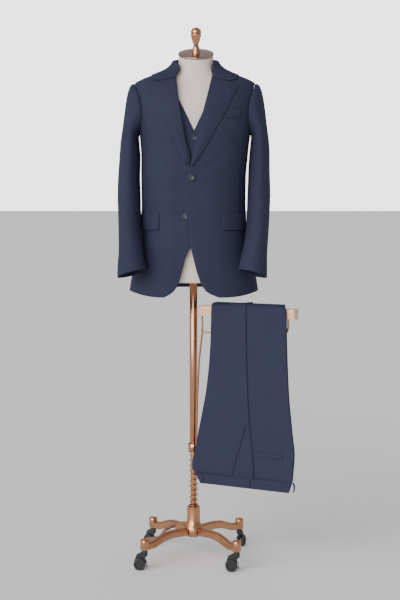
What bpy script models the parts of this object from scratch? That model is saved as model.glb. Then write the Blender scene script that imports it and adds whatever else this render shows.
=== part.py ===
"""Three-piece suit on a limbless dress form, with its castor stand and trouser bar.

Metres, +Z up. The wearer faces -Y, and the wearer's left is +X. Every size below is measured
from the pole's axis at floor level. PLACE then moves the whole so that the origin is the middle
of its box on the floor.
"""
import math

import bmesh
import bpy
import numpy as np
from mathutils import Matrix, Vector

PLACE = (-0.0428, 0.0164, 0.0)

# Cloth walls and the gap that neighbouring pieces keep
WALL = 0.0020
SEAM = 0.0003
ON_TOP = WALL + 2 * SEAM
LAP = 0.0028

# Jacket: horizontal sections of its outer face, from the hem to the top of the neck
SECTION_COLUMNS = ("z", "half_width", "front", "back", "middle", "square")
JACKET_SECTIONS = (
    (0.8600, 0.2160, 0.1340, 0.1280, 0.0015, 2.30),
    (0.8745, 0.2140, 0.1340, 0.1280, 0.0015, 2.30),
    (0.9300, 0.2055, 0.1360, 0.1280, 0.0015, 2.30),
    (0.9800, 0.1945, 0.1370, 0.1260, 0.0015, 2.30),
    (1.0400, 0.1820, 0.1370, 0.1220, 0.0015, 2.30),
    (1.1000, 0.1725, 0.1340, 0.1130, 0.0020, 2.30),
    (1.1800, 0.1705, 0.1290, 0.1000, 0.0005, 2.30),
    (1.2600, 0.1718, 0.1300, 0.1020, 0.0005, 2.30),
    (1.3400, 0.1755, 0.1360, 0.1120, 0.0040, 2.30),
    (1.4000, 0.1815, 0.1390, 0.1200, 0.0050, 2.35),
    (1.4500, 0.1900, 0.1370, 0.1240, 0.0055, 2.40),
    (1.5000, 0.1955, 0.1280, 0.1230, 0.0052, 2.40),
    (1.5450, 0.1985, 0.1060, 0.1120, 0.0052, 2.30),
    (1.5660, 0.1975, 0.0900, 0.0980, 0.0052, 2.20),
    (1.5800, 0.1770, 0.0780, 0.0880, 0.0058, 2.10),
    (1.5930, 0.1440, 0.0690, 0.0800, 0.0055, 2.10),
    (1.6060, 0.1080, 0.0635, 0.0740, 0.0065, 2.10),
    (1.6200, 0.0850, 0.0610, 0.0700, 0.0068, 2.10),
    (1.6400, 0.0720, 0.0595, 0.0665, 0.0070, 2.10),
    (1.6700, 0.0680, 0.0580, 0.0650, 0.0070, 2.10),
)
WAISTCOAT_SECTIONS = (
    (1.0300, 0.1720, 0.1285, 0.1140, 0.0015, 2.30),
    (1.1000, 0.1610, 0.1240, 0.1050, 0.0020, 2.30),
    (1.1800, 0.1570, 0.1190, 0.0920, 0.0025, 2.30),
    (1.2600, 0.1590, 0.1200, 0.0940, 0.0030, 2.30),
    (1.3400, 0.1640, 0.1260, 0.1040, 0.0040, 2.30),
    (1.4000, 0.1700, 0.1290, 0.1120, 0.0050, 2.35),
    (1.4500, 0.1780, 0.1270, 0.1160, 0.0055, 2.40),
    (1.5000, 0.1825, 0.1180, 0.1150, 0.0052, 2.40),
    (1.5450, 0.1840, 0.0960, 0.1040, 0.0052, 2.30),
    (1.5600, 0.1760, 0.0840, 0.0930, 0.0054, 2.20),
    (1.5750, 0.1530, 0.0700, 0.0810, 0.0058, 2.10),
    (1.5880, 0.1260, 0.0630, 0.0740, 0.0065, 2.10),
    (1.6000, 0.0960, 0.0585, 0.0680, 0.0068, 2.10),
    (1.6200, 0.0740, 0.0565, 0.0640, 0.0070, 2.10),
)
FORM_COLUMNS = ("z", "half_width", "front", "back", "middle", "square", "tilt")
FORM_SECTIONS = (
    (0.9200, 0.1550, 0.1060, 0.1010, 0.0010, 2.20, 0.0),
    (0.9260, 0.1600, 0.1100, 0.1050, 0.0010, 2.20, 0.0),
    (1.0000, 0.1630, 0.1150, 0.1060, 0.0015, 2.20, 0.0),
    (1.1000, 0.1510, 0.1160, 0.0960, 0.0020, 2.20, 0.0),
    (1.1800, 0.1470, 0.1110, 0.0830, 0.0025, 2.20, 0.0),
    (1.2600, 0.1490, 0.1120, 0.0850, 0.0030, 2.20, 0.0),
    (1.3400, 0.1540, 0.1180, 0.0950, 0.0040, 2.20, 0.0),
    (1.4000, 0.1600, 0.1210, 0.1030, 0.0050, 2.25, 0.0),
    (1.4500, 0.1685, 0.1190, 0.1060, 0.0055, 2.30, 0.0),
    (1.5000, 0.1715, 0.1100, 0.1040, 0.0054, 2.30, 0.0),
    (1.5400, 0.1680, 0.0870, 0.0910, 0.0056, 2.20, 0.0),
    (1.5560, 0.1560, 0.0740, 0.0800, 0.0060, 2.10, 0.0),
    (1.5700, 0.1310, 0.0640, 0.0730, 0.0068, 2.05, 0.0),
    (1.5830, 0.1020, 0.0570, 0.0660, 0.0082, 2.00, 0.0),
    (1.5970, 0.0760, 0.0545, 0.0600, 0.0084, 2.00, 0.0),
    (1.6120, 0.0620, 0.0530, 0.0570, 0.0085, 2.00, 0.0),
    (1.6300, 0.0572, 0.0520, 0.0550, 0.0085, 2.00, 0.15),
    (1.6600, 0.0565, 0.0535, 0.0550, 0.0085, 2.00, 0.40),
)

FORM_SIDES = 20

# Where each piece's free edge runs: height against its place across the body
EDGE_COLUMNS = ("z", "right", "left")
JACKET_EDGE = (
    (0.8700, -0.1000, 0.0880),
    (0.8770, -0.0890, 0.0775),
    (0.8900, -0.0665, 0.0455),
    (0.9020, -0.0570, 0.0359),
    (0.9150, -0.0490, 0.0263),
    (0.9410, -0.0410, 0.0167),
    (0.9660, -0.0345, 0.0087),
    (0.9920, -0.0280, 0.0023),
    (1.0180, -0.0185, -0.0040),
    (1.0410, -0.0080, -0.0095),
    (1.1050, 0.0060, -0.0137),
    (1.1450, 0.0090, -0.0246),
    (1.2214, 0.0100, -0.0290),
    (1.2520, 0.0080, -0.0214),
    (1.2830, -0.0020, -0.0137),
    (1.2960, -0.0080, -0.0078),
    (1.3250, -0.0128, -0.0015),
    (1.3770, -0.0265, 0.0090),
    (1.4060, -0.0315, 0.0147),
    (1.4700, -0.0425, 0.0333),
    (1.5370, -0.0525, 0.0505),
    (1.5860, -0.0579, 0.0614),
    (1.6313, -0.0634, 0.0676),
    (1.6600, -0.0660, 0.0700),
)
LAPEL_EDGE = (
    (1.2900, -0.0200, -0.0070),
    (1.3014, -0.0265, 0.0020),
    (1.3226, -0.0371, 0.0200),
    (1.3600, -0.0535, 0.0430),
    (1.4120, -0.0757, 0.0712),
    (1.4700, -0.1045, 0.1041),
    (1.5100, -0.1250, 0.1212),
    (1.5280, -0.1340, 0.1326),
    (1.5544, -0.1396, 0.1447),
)
WAISTCOAT_EDGE = (
    (1.0400, -0.0160, 0.0200),
    (1.0850, 0.0080, -0.0040),
    (1.1100, 0.0140, -0.0100),
    (1.3700, 0.0140, -0.0100),
    (1.3900, 0.0100, -0.0055),
    (1.4088, 0.0014, 0.0030),
    (1.4634, -0.0241, 0.0285),
    (1.5200, -0.0511, 0.0555),
    (1.5700, -0.0736, 0.0780),
    (1.6000, -0.0826, 0.0890),
)

# Jacket armhole, an oval on the body's surface: angle round the body against height
ARM_SIDE = 90.0
ARM_ANGLE = 30.0
ARM_MIDDLE = 1.483
ARM_HEIGHT = 0.083
ARM_FRONT = (0, 25, 45, 67, 90)
ARM_UNDER = (90, 115, 140, 165, 195, 220, 245, 270)
ARM_BACK = (270, 293, 315, 335, 360)

# Heights of the jacket's rows of points: up to the armhole's widest point, then to the neck
HEM = 0.8745
LOW_ROWS = (HEM, 0.886, 0.905, 0.940, 0.990, 1.040, 1.100, 1.135, 1.170, 1.225, 1.296, 1.350,
            1.410, 1.450, ARM_MIDDLE)
NECK_ROWS = (1.580, 1.593, 1.606, 1.620)
HEM_RISE = 0.0160
HEM_BACK = 0.0185
SIDE_BLEND = 1.300
EDGE_STEPS = (0.0, 0.09, 0.22, 0.40, 0.60, 0.80, 1.0)
BACK_STEPS = (0.0, 0.20, 0.40, 0.60, 0.80, 1.0)

# Sleeve sections from the biceps to the cuff. reach: distance of the middle from the body's
# middle; lean and pitch: how far the section rises outward and toward the back
SLEEVE_COLUMNS = ("z", "reach", "shift", "depth", "half_width", "half_depth", "lean", "pitch", "twist")
SLEEVE_SECTIONS = (
    (1.4050, 0.2095, 0.0050, -0.0040, 0.0270, 0.0710, 0.90, 0.00, 0.0),
    (1.3400, 0.2121, 0.0045, -0.0050, 0.0342, 0.0710, 0.35, 0.00, 3.0),
    (1.2600, 0.2125, 0.0020, -0.0120, 0.0365, 0.0680, 0.00, 0.00, 10.0),
    (1.1800, 0.2103, 0.0018, -0.0340, 0.0388, 0.0640, 0.00, -0.05, 20.0),
    (1.1000, 0.2060, 0.0010, -0.0700, 0.0385, 0.0590, -0.06, -0.12, 31.0),
    (1.0300, 0.1990, -0.0010, -0.1060, 0.0400, 0.0530, -0.14, -0.18, 42.0),
    (0.9850, 0.1950, -0.0030, -0.1260, 0.0440, 0.0480, -0.20, -0.20, 47.0),
    (0.9525, 0.1920, -0.0035, -0.1370, 0.0468, 0.0455, -0.26, -0.20, 50.0),
)
SLEEVE_HEAD_STEPS = (0.0, 0.25, 0.5, 0.75, 1.0)
SLEEVE_ROW_HEIGHTS = (1.340, 1.260, 1.180, 1.100, 1.030, 0.985, 0.9525)
SLEEVE_FRONT_SEAM = 115
SLEEVE_HEAD_PULL = 0.55
SLEEVE_SEAM = 0.0005

# Collar: outer edge, gorge and fold, as angle round the body against height
COLLAR_COLUMNS = ("along", "edge_angle", "edge_z", "fold_angle", "fold_z")
COLLAR_STATIONS = (
    (0.00, 40.5, 1.5745, 15.6, 1.5808),
    (0.10, 50.0, 1.5810, 27.0, 1.6040),
    (0.22, 66.0, 1.5890, 50.0, 1.6300),
    (0.40, 90.0, 1.5970, 90.0, 1.6400),
    (0.60, 120.0, 1.5890, 120.0, 1.6460),
    (0.80, 150.0, 1.5760, 150.0, 1.6500),
    (1.00, 180.0, 1.5710, 180.0, 1.6520),
)
COLLAR_FRONT = (0.0, 0.05, 0.10, 0.16, 0.22, 0.28, 0.34)
COLLAR_GAP = 0.0030
# Columns: share, right, left, z
COLLAR_ENDS = (
    (0.00, -0.1310, 0.1385, 1.5745),
    (0.45, -0.1118, 0.1164, 1.5686),
    (1.00, -0.0573, 0.0603, 1.5803),
)
COLLAR_END_FADE = 0.14
NOTCH_PLACE = 0.66
NOTCH_RISE = 0.0045
STAND_FOOT = 1.6206
FOLD_BACK = 0.0004
FOLD_RISE = 0.0030
STAND_OUT = 0.0030
STAND_IN = 0.0010

# Pocket flaps, breast welt and buttons
FLAP_TOP = 1.1406
FLAP_BOTTOM = 1.0908
FLAP_LIFT = 0.0009
FLAP_ANGLES = {"right": (37.3, 82.0), "left": (28.6, 74.0)}
WELT_X = (0.1080, 0.1500)
WELT_Z = 1.4600
WELT_HEIGHT = 0.0220
WELT_RISE = 0.0050
BUTTON_UPPER = (-0.0051, 1.2598)
BUTTON_LOWER = (-0.0239, 1.1350)
BUTTON_RADIUS = 0.0100
BUTTON_THICK = 0.0030
BUMP_HEIGHT = 0.0042
BUMP_SPREAD = (0.030, 0.035)
CUFF_BUTTON_RADIUS = 0.0080
CUFF_BUTTON_PITCH = 0.0150
CUFF_BUTTON_FIRST = 0.9790
CUFF_BUTTON_ANGLE = -78.0
CUFF_BUTTONS = 4
WAISTCOAT_BUTTONS = (1.385, 1.315, 1.245, 1.175)
WAISTCOAT_BUTTON_RADIUS = 0.0075
WAISTCOAT_BUTTON_X = 0.0022

# Waistcoat rows and its deep armhole
WAIST_HEM = 1.050
WAIST_ROWS = (WAIST_HEM, 1.100, 1.180, 1.270, 1.360, 1.388, 1.410)
WAIST_TOP_ROWS = (1.588, 1.600)
WAIST_ARM_ROWS = (1.467, 1.525, 1.562, 1.575)
WAIST_ARM_LOW = 1.360
WAIST_ARM_HIGH = 1.575
WAIST_ARM_ANGLE = 36.0
WAIST_STEPS = (0.0, 0.10, 0.28, 0.52, 0.76, 1.0)
WAIST_BACK_STEPS = (0.0, 0.08, 0.18, 0.29, 0.39, 0.5, 0.61, 0.71, 0.82, 0.92, 1.0)
WAIST_LAP = 0.0026

# Neck cap and finial
CAP_RADIUS = 0.0585
CAP_THICK = 0.0060
CAP_TILT = 0.40
CAP_CENTRE = (0.0085, 0.0, 1.6608)
FINIAL_PROFILE = (
    (0.0125, 0.0), (0.0122, 0.010), (0.0098, 0.020), (0.0070, 0.0255), (0.0092, 0.0300),
    (0.0125, 0.0380), (0.0155, 0.0500), (0.0172, 0.0570), (0.0172, 0.0600), (0.0155, 0.0622),
    (0.0172, 0.0645), (0.0166, 0.0710), (0.0135, 0.0770), (0.0080, 0.0812), (0.0, 0.0830),
)

# Pole, spring and socket
POLE_RADIUS = 0.01275
POLE_BORE = 0.0108
POLE_FOOT = 0.3575
FORM_FOOT = 0.9200
INNER_RADIUS = 0.0100
INNER_FOOT = 0.0960
INNER_TOP = 0.5600
SPRING_RADIUS = 0.01425
SPRING_WIRE = 0.0015
SPRING_FOOT = 0.1743
SPRING_TURNS = 12
SPRING_STEPS = 9
SOCKET_RADIUS = 0.0215
SOCKET_TOP = 0.1740
SOCKET_FOOT = 0.0750
SOCKET_BORE = 0.0104
HUB_RADIUS = 0.0300

# Legs, from the socket outward: distance along the leg, bottom and top height, half width
# Columns: reach, bottom, top, half_width
LEG_SECTIONS = (
    (0.0318, 0.0800, 0.1050, 0.0100),
    (0.0550, 0.0815, 0.1075, 0.0100),
    (0.0850, 0.0830, 0.1085, 0.0100),
    (0.1200, 0.0800, 0.1060, 0.0100),
    (0.1500, 0.0710, 0.0970, 0.0100),
    (0.1720, 0.0640, 0.0890, 0.0100),
    (0.1960, 0.0630, 0.0860, 0.0100),
)
LEG_CORNER = 0.0040
LEG_REACH = 0.2090
LEG_TURN = -3.3
BOSS_RADIUS = 0.0140
BOSS_FOOT = 0.0635
BOSS_TOP = 0.0990
BOSS_BORE = 0.0045
LEG_NAMES = ("front_right", "front_left", "back_left", "back_right")
LEG_ANGLES = (225.0, 315.0, 45.0, 135.0)

# Castors
STEM_RADIUS = 0.0040
STEM_TOP = 0.0880
WHEEL_RADIUS = 0.0200
WHEEL_SIDES = 16
WHEEL_WIDTH = 0.0220
WHEEL_GROOVE = 0.0066
AXLE_RADIUS = 0.0030
AXLE_BORE = 0.0034
ARM_THICK = 0.0060
TRAIL = {"front_right": (180.0, 0.0160), "front_left": (180.0, 0.0175),
         "back_left": (65.0, 0.0165), "back_right": (140.0, 0.0165)}
BRAKE_RADIUS = 0.0230

# Foot pedal
# Columns: reach, half_width, height, half_thick
PEDAL_TURN = 189.0
PEDAL_SECTIONS = (
    (0.0253, 0.0060, 0.1200, 0.0030),
    (0.0520, 0.0060, 0.1190, 0.0030),
    (0.0600, 0.0140, 0.1160, 0.0030),
    (0.0950, 0.0150, 0.1000, 0.0030),
    (0.1080, 0.0110, 0.0800, 0.0030),
    (0.1160, 0.0130, 0.0715, 0.0030),
    (0.1560, 0.0130, 0.0690, 0.0030),
    (0.1600, 0.0105, 0.0690, 0.0020),
)

# Trouser bar, its rod and stay. Along the bar, from its left end, and out from its middle
BAR_START = (0.0250, -0.0300)
BAR_TURN = -28.1
BAR_LENGTH = 0.3400
BAR_HALF = 0.0165
BAR_TOP = 0.8430
ROD_RADIUS = 0.00325
ROD_FOOT = 0.3590
CLAMP_RADIUS = 0.0180
CLAMP_HEIGHT = 0.0240
CLAMP_BORE = POLE_RADIUS + 0.0003
ROD_TOP = (0.0042, 0.8092)
ROD_BEND_TOP = 0.6600
STAY_HEIGHT = 0.7550
STAY_END = 0.3120
STAY_BEND = 0.0260

# Folded trousers: along the path over the bar, from the waist in front to the hems behind
PLY = 0.0098
CLOTH_GAP = 0.0004
FOLD_ROUND = 0.0032
WAIST_FOOT = 0.2640
HEM_FOOT = 0.4300
TROUSER_COLUMNS = ("run", "left", "fold", "right")
TROUSER_ROWS = (
    (0.000, 0.0120, 0.2080, 0.3275),
    (0.018, 0.0025, 0.2075, 0.3325),
    (0.032, -0.0080, 0.2070, 0.3375),
    (0.046, -0.0180, 0.2060, 0.3400),
    (0.064, -0.0180, 0.2050, 0.3415),
    (0.090, -0.0115, 0.2030, 0.3440),
    (0.125, -0.0030, 0.2000, 0.3455),
    (0.170, 0.0055, 0.1950, 0.3400),
    (0.230, 0.0185, 0.1890, 0.3333),
    (0.300, 0.0325, 0.1850, 0.3262),
    (0.400, 0.0450, 0.1810, 0.3208),
    (0.480, 0.0500, 0.1790, 0.3180),
    (0.574, 0.0524, 0.1780, 0.3155),
    (0.600, 0.0528, 0.1778, 0.3080),
    (0.627, 0.0532, 0.1774, 0.2960),
    (0.652, 0.0536, 0.1770, 0.2870),
    (0.850, 0.0640, 0.1750, 0.2800),
    (1.100, 0.0790, 0.1730, 0.2740),
)
FRONT_RUNS = (0.034, 0.050, 0.075, 0.105, 0.145, 0.200, 0.265, 0.350, 0.450)
BAND_HEIGHT = 0.0320
FOLD_OVER = 0.0100
FRONT_LIFT = 0.0026
LAYER_GROOVE = 0.0022
SLANT = ((0.1700, 0.464), (0.1192, 0.301))
BACK_WELT = ((0.2150, 0.3740), (0.3060, 0.3690))
BACK_WELT_HEIGHT = 0.0100
LOOP_PLACES = (0.0180, 0.1880)
LOOP_HALF = 0.0045
LOOP_THICK = 0.0016

MATERIALS = {
    "navy_wool": ((0.052, 0.060, 0.110), 0.85, 0.0),
    "navy_dark": ((0.022, 0.026, 0.052), 0.80, 0.0),
    "button_navy": ((0.020, 0.022, 0.040), 0.45, 0.0),
    "linen": ((0.745, 0.665, 0.605), 0.90, 0.0),
    "copper": ((0.520, 0.250, 0.130), 0.30, 1.0),
    "cap_metal": ((0.330, 0.190, 0.160), 0.35, 1.0),
    "pale_wood": ((0.760, 0.530, 0.380), 0.55, 0.0),
    "black_plastic": ((0.015, 0.014, 0.015), 0.45, 0.0),
}


def clear_scene():
    for item in list(bpy.data.objects):
        bpy.data.objects.remove(item, do_unlink=True)


def make_materials():
    made = {}
    for name, (colour, roughness, metallic) in MATERIALS.items():
        material = bpy.data.materials.new(name)
        material.use_nodes = True
        shader = material.node_tree.nodes["Principled BSDF"]
        shader.inputs["Base Color"].default_value = (*colour, 1.0)
        shader.inputs["Roughness"].default_value = roughness
        shader.inputs["Metallic"].default_value = metallic
        made[name] = material
    return made


class Builder:
    """Adds closed solids to the scene, all parented to one empty on the pole's axis."""

    def __init__(self):
        self.materials = make_materials()
        self.root = bpy.data.objects.new("pole_axis", None)
        self.root.location = PLACE
        bpy.context.scene.collection.objects.link(self.root)

    def solid(self, name, vertices, faces, material, origin=(0.0, 0.0, 0.0), sharp=40.0):
        mesh = bpy.data.meshes.new(name)
        start = Vector(origin)
        mesh.from_pydata([Vector(v) - start for v in vertices], [], faces)
        sides = bmesh.new()
        sides.from_mesh(mesh)
        bmesh.ops.recalc_face_normals(sides, faces=sides.faces)
        sides.to_mesh(mesh)
        sides.free()
        mesh.shade_smooth()
        mesh.set_sharp_from_angle(angle=math.radians(sharp))
        mesh.materials.append(self.materials[material])
        item = bpy.data.objects.new(name, mesh)
        item.location = origin
        item.parent = self.root
        bpy.context.scene.collection.objects.link(item)
        return item

    def join(self, target, other, operation="UNION"):
        """Joins or cuts a solid into another and bakes the result."""
        change = target.modifiers.new("join", "BOOLEAN")
        change.operation = operation
        change.object = other
        bpy.context.view_layer.update()
        shape = bpy.data.meshes.new_from_object(
            target.evaluated_get(bpy.context.evaluated_depsgraph_get()))
        target.modifiers.clear()
        target.data = shape
        bpy.data.objects.remove(other, do_unlink=True)
        return target


class Table:
    """A short table with named columns, read smoothly against its first column."""

    def __init__(self, columns, rows):
        values = np.array(rows, dtype=float)
        self.key = values[:, 0]
        self.columns = {}
        for place, name in enumerate(columns):
            self.columns[name] = (values[:, place], self.slopes(values[:, place]))

    def slopes(self, heights):
        """Slopes that keep a smooth curve from overshooting its rows."""
        gaps = np.diff(self.key)
        rises = np.diff(heights) / gaps
        slopes = np.zeros(len(heights))
        slopes[0] = rises[0]
        slopes[-1] = rises[-1]
        for i in range(1, len(heights) - 1):
            if rises[i - 1] * rises[i] > 0:
                before = 2 * gaps[i] + gaps[i - 1]
                after = gaps[i] + 2 * gaps[i - 1]
                slopes[i] = (before + after) / (before / rises[i - 1] + after / rises[i])
        return slopes

    def at(self, name, key):
        heights, slopes = self.columns[name]
        key = min(max(key, self.key[0]), self.key[-1])
        i = min(int(np.searchsorted(self.key, key, side="right")) - 1, len(self.key) - 2)
        gap = self.key[i + 1] - self.key[i]
        t = (key - self.key[i]) / gap
        return ((1 + 2 * t) * (1 - t) ** 2 * heights[i] + t * (1 - t) ** 2 * gap * slopes[i]
                + t * t * (3 - 2 * t) * heights[i + 1] + t * t * (t - 1) * gap * slopes[i + 1])


def ease(value):
    """0 below 0, 1 above 1 and smooth between."""
    value = min(max(value, 0.0), 1.0)
    return value * value * (3 - 2 * value)


class Skin:
    """A surface read by two numbers, with points moved out along its normal."""

    def __init__(self, point, steps):
        self.point = point
        self.steps = steps

    def normal(self, u, v):
        du, dv = self.steps
        across = self.point(u + du, v) - self.point(u - du, v)
        up = self.point(u, v + dv) - self.point(u, v - dv)
        direction = np.cross(across, up)
        return direction / np.linalg.norm(direction)

    def at(self, u, v, out=0.0):
        return self.point(u, v) + out * self.normal(u, v)


class Torso(Skin):
    """Rounded horizontal sections. u is the angle from the front toward the wearer's left."""

    def __init__(self, columns, rows):
        self.table = Table(columns, rows)
        super().__init__(self.section_point, (0.5, 0.002))

    def section_point(self, angle, z):
        turn = math.radians(angle)
        power = 2.0 / self.table.at("square", z)
        side = math.sin(turn)
        front = math.cos(turn)
        depth = self.table.at("front" if front > 0 else "back", z)
        x = self.table.at("half_width", z) * math.copysign(abs(side) ** power, side)
        y = -depth * math.copysign(abs(front) ** power, front)
        return np.array((x + self.table.at("middle", z), y, z))

    def angle(self, x, z):
        """The angle at which the front of the section at height z passes through x."""
        share = (x - self.table.at("middle", z)) / self.table.at("half_width", z)
        reach = min(abs(share), 1.0) ** (self.table.at("square", z) / 2.0)
        return math.degrees(math.copysign(math.asin(reach), share))


JACKET = Torso(SECTION_COLUMNS, JACKET_SECTIONS)
WAISTCOAT = Torso(SECTION_COLUMNS, WAISTCOAT_SECTIONS)
JACKET_FRONT_EDGE = Table(EDGE_COLUMNS, JACKET_EDGE)
LAPEL_OUTER_EDGE = Table(EDGE_COLUMNS, LAPEL_EDGE)
WAISTCOAT_FRONT_EDGE = Table(EDGE_COLUMNS, WAISTCOAT_EDGE)
SIDES = {"left": 1.0, "right": -1.0}


def shell_faces(rows, columns):
    """Faces of a closed wall between an outer and an inner grid of the same size."""
    count = rows * columns
    faces = []
    for r in range(rows - 1):
        for c in range(columns - 1):
            a = r * columns + c
            faces.append((a, a + 1, a + columns + 1, a + columns))
            faces.append((count + a, count + a + columns, count + a + columns + 1, count + a + 1))
    rim = [c for c in range(columns)]
    rim += [r * columns + columns - 1 for r in range(1, rows)]
    rim += [(rows - 1) * columns + c for c in range(columns - 2, -1, -1)]
    rim += [r * columns for r in range(rows - 2, 0, -1)]
    for a, b in zip(rim, rim[1:] + rim[:1]):
        faces.append((b, a, count + a, count + b))
    return faces


def pull_in(outer, inner, gaps):
    """Moves a wall's edges in by the seam's half gap: first row, last row, first and last column."""
    outer = np.array(outer)
    inner = np.array(inner)
    moves = np.zeros_like(outer)
    edges = ((0, None, 1, None), (-1, None, -2, None), (None, 0, None, 1), (None, -1, None, -2))
    for (row, column, next_row, next_column), gap in zip(edges, gaps):
        here = (slice(None) if row is None else row, slice(None) if column is None else column)
        there = (slice(None) if next_row is None else next_row,
                 slice(None) if next_column is None else next_column)
        step = outer[there] - outer[here]
        moves[here] += gap * step / np.linalg.norm(step, axis=-1, keepdims=True)
    return outer + moves, inner + moves


def wall(builder, name, outer, inner, material, gaps=(0, 0, 0, 0)):
    outer, inner = pull_in(outer, inner, gaps)
    rows, columns = outer.shape[:2]
    vertices = np.concatenate((outer.reshape(-1, 3), inner.reshape(-1, 3)))
    return builder.solid(name, vertices.tolist(), shell_faces(rows, columns), material)


def panel(builder, name, skin, grid, material, gaps=(0, 0, 0, 0), thick=WALL):
    """A cloth panel from a grid of (u, v, out) on a surface."""
    outer = [[skin.at(u, v, out) for u, v, out in row] for row in grid]
    inner = [[skin.at(u, v, out - thick) for u, v, out in row] for row in grid]
    return wall(builder, name, outer, inner, material, gaps)


def turned(profile, segments, closed=False):
    """A turned shape about Z. A closed profile makes a ring, an open one is capped."""
    vertices = []
    rings = []
    for radius, height in profile:
        if radius < 1e-9:
            rings.append([len(vertices)])
            vertices.append((0.0, 0.0, height))
            continue
        rings.append(list(range(len(vertices), len(vertices) + segments)))
        for i in range(segments):
            turn = 2 * math.pi * (i + 0.5) / segments
            vertices.append((radius * math.cos(turn), radius * math.sin(turn), height))
    faces = []
    pairs = list(zip(rings, rings[1:]))
    if closed:
        pairs.append((rings[-1], rings[0]))
    for low, high in pairs:
        for i in range(segments):
            j = (i + 1) % segments
            if len(low) == 1:
                faces.append((low[0], high[j], high[i]))
            elif len(high) == 1:
                faces.append((low[i], low[j], high[0]))
            else:
                faces.append((low[i], low[j], high[j], high[i]))
    if not closed:
        if len(rings[0]) > 1:
            faces.append(tuple(reversed(rings[0])))
        if len(rings[-1]) > 1:
            faces.append(tuple(rings[-1]))
    return vertices, faces


def moved(vertices, matrix):
    return [tuple(matrix @ Vector(v)) for v in vertices]


def rings_solid(rings):
    """Vertices and faces of a capped solid through rings with equal numbers of points."""
    size = len(rings[0])
    vertices = [tuple(point) for ring in rings for point in ring]
    faces = []
    for r in range(len(rings) - 1):
        for i in range(size):
            j = (i + 1) % size
            faces.append((r * size + i, r * size + j, (r + 1) * size + j, (r + 1) * size + i))
    faces.append(tuple(reversed(range(size))))
    faces.append(tuple(range((len(rings) - 1) * size, len(rings) * size)))
    return vertices, faces


def rod(path, radius, sides):
    """A round rod along a path of points."""
    path = [Vector(p) for p in path]
    rings = []
    side = None
    for i, point in enumerate(path):
        ahead = path[min(i + 1, len(path) - 1)] - path[max(i - 1, 0)]
        ahead.normalize()
        if side is None:
            side = ahead.orthogonal().normalized()
        side = (side - ahead * side.dot(ahead)).normalized()
        across = ahead.cross(side)
        ring = []
        for k in range(sides):
            turn = 2 * math.pi * k / sides
            ring.append(point + radius * (math.cos(turn) * side + math.sin(turn) * across))
        rings.append(ring)
    return rings_solid(rings)


# Jacket body

def arm_hole(theta):
    """Angle from the front and height of the armhole, theta from its top toward the front."""
    turn = math.radians(theta)
    return ARM_SIDE - ARM_ANGLE * math.sin(turn), ARM_MIDDLE + ARM_HEIGHT * math.cos(turn)


def hem_shape(angle, z):
    """Height of a row at an angle: the hem rises toward the sides and back."""
    rise = HEM_RISE * ease((abs(angle) - 25) / 55)
    rise += (HEM_BACK - HEM_RISE) * ease((abs(angle) - 90) / 90)
    return z + rise * (1 - ease((z - HEM) / 0.12))


def front_out(side, x, z):
    """How far a front lies from the jacket's surface: the right one dips under the left one."""
    if side == "right":
        return -LAP * ease((x + 0.078) / 0.036) * (1 - ease((z - 1.32) / 0.10))
    across = (x - BUTTON_LOWER[0]) / BUMP_SPREAD[0]
    up = (z - BUTTON_LOWER[1]) / BUMP_SPREAD[1]
    return BUMP_HEIGHT * math.exp(-0.5 * (across * across + up * up))


def front_rows():
    rows = [(z, 90.0 - ARM_ANGLE) for z in LOW_ROWS]
    for theta in reversed(ARM_FRONT[:-1]):
        angle, z = arm_hole(theta)
        rows.append((z, angle))
    rows += [(z, ARM_SIDE) for z in NECK_ROWS]
    return rows


def jacket_front(builder, side):
    grid = []
    for z, outer_angle in front_rows():
        start = JACKET.angle(JACKET_FRONT_EDGE.at(side, z), z)
        end = SIDES[side] * outer_angle
        row = []
        for step in EDGE_STEPS:
            angle = start + (end - start) * step
            height = hem_shape(angle, z)
            x = JACKET.point(angle, height)[0]
            row.append((angle, height, front_out(side, x, z)))
        grid.append(row)
    half = SEAM / 2
    panel(builder, "jacket_front_" + side, JACKET, grid, "navy_wool", (0, 0, half, half))


def jacket_side(builder, side):
    tops = [arm_hole(theta) for theta in ARM_UNDER]
    grid = []
    for z in LOW_ROWS:
        row = []
        for angle, top in tops:
            height = hem_shape(angle, z)
            if z > SIDE_BLEND:
                height = SIDE_BLEND + (z - SIDE_BLEND) * (top - SIDE_BLEND) / (ARM_MIDDLE - SIDE_BLEND)
            row.append((SIDES[side] * angle, height, 0.0))
        grid.append(row)
    half = SEAM / 2
    panel(builder, "jacket_side_" + side, JACKET, grid, "navy_wool", (0, 0, half, half))


def jacket_back(builder, side):
    rows = [(z, 90.0 + ARM_ANGLE) for z in LOW_ROWS]
    for theta in ARM_BACK[1:]:
        angle, z = arm_hole(theta)
        rows.append((z, angle))
    rows += [(z, ARM_SIDE) for z in NECK_ROWS]
    grid = []
    for z, start in rows:
        row = []
        for step in BACK_STEPS:
            angle = start + (180.0 - start) * step
            row.append((SIDES[side] * angle, hem_shape(angle, z), 0.0))
        grid.append(row)
    half = SEAM / 2
    panel(builder, "jacket_back_" + side, JACKET, grid, "navy_wool", (0, 0, half, half))


# Sleeves

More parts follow.
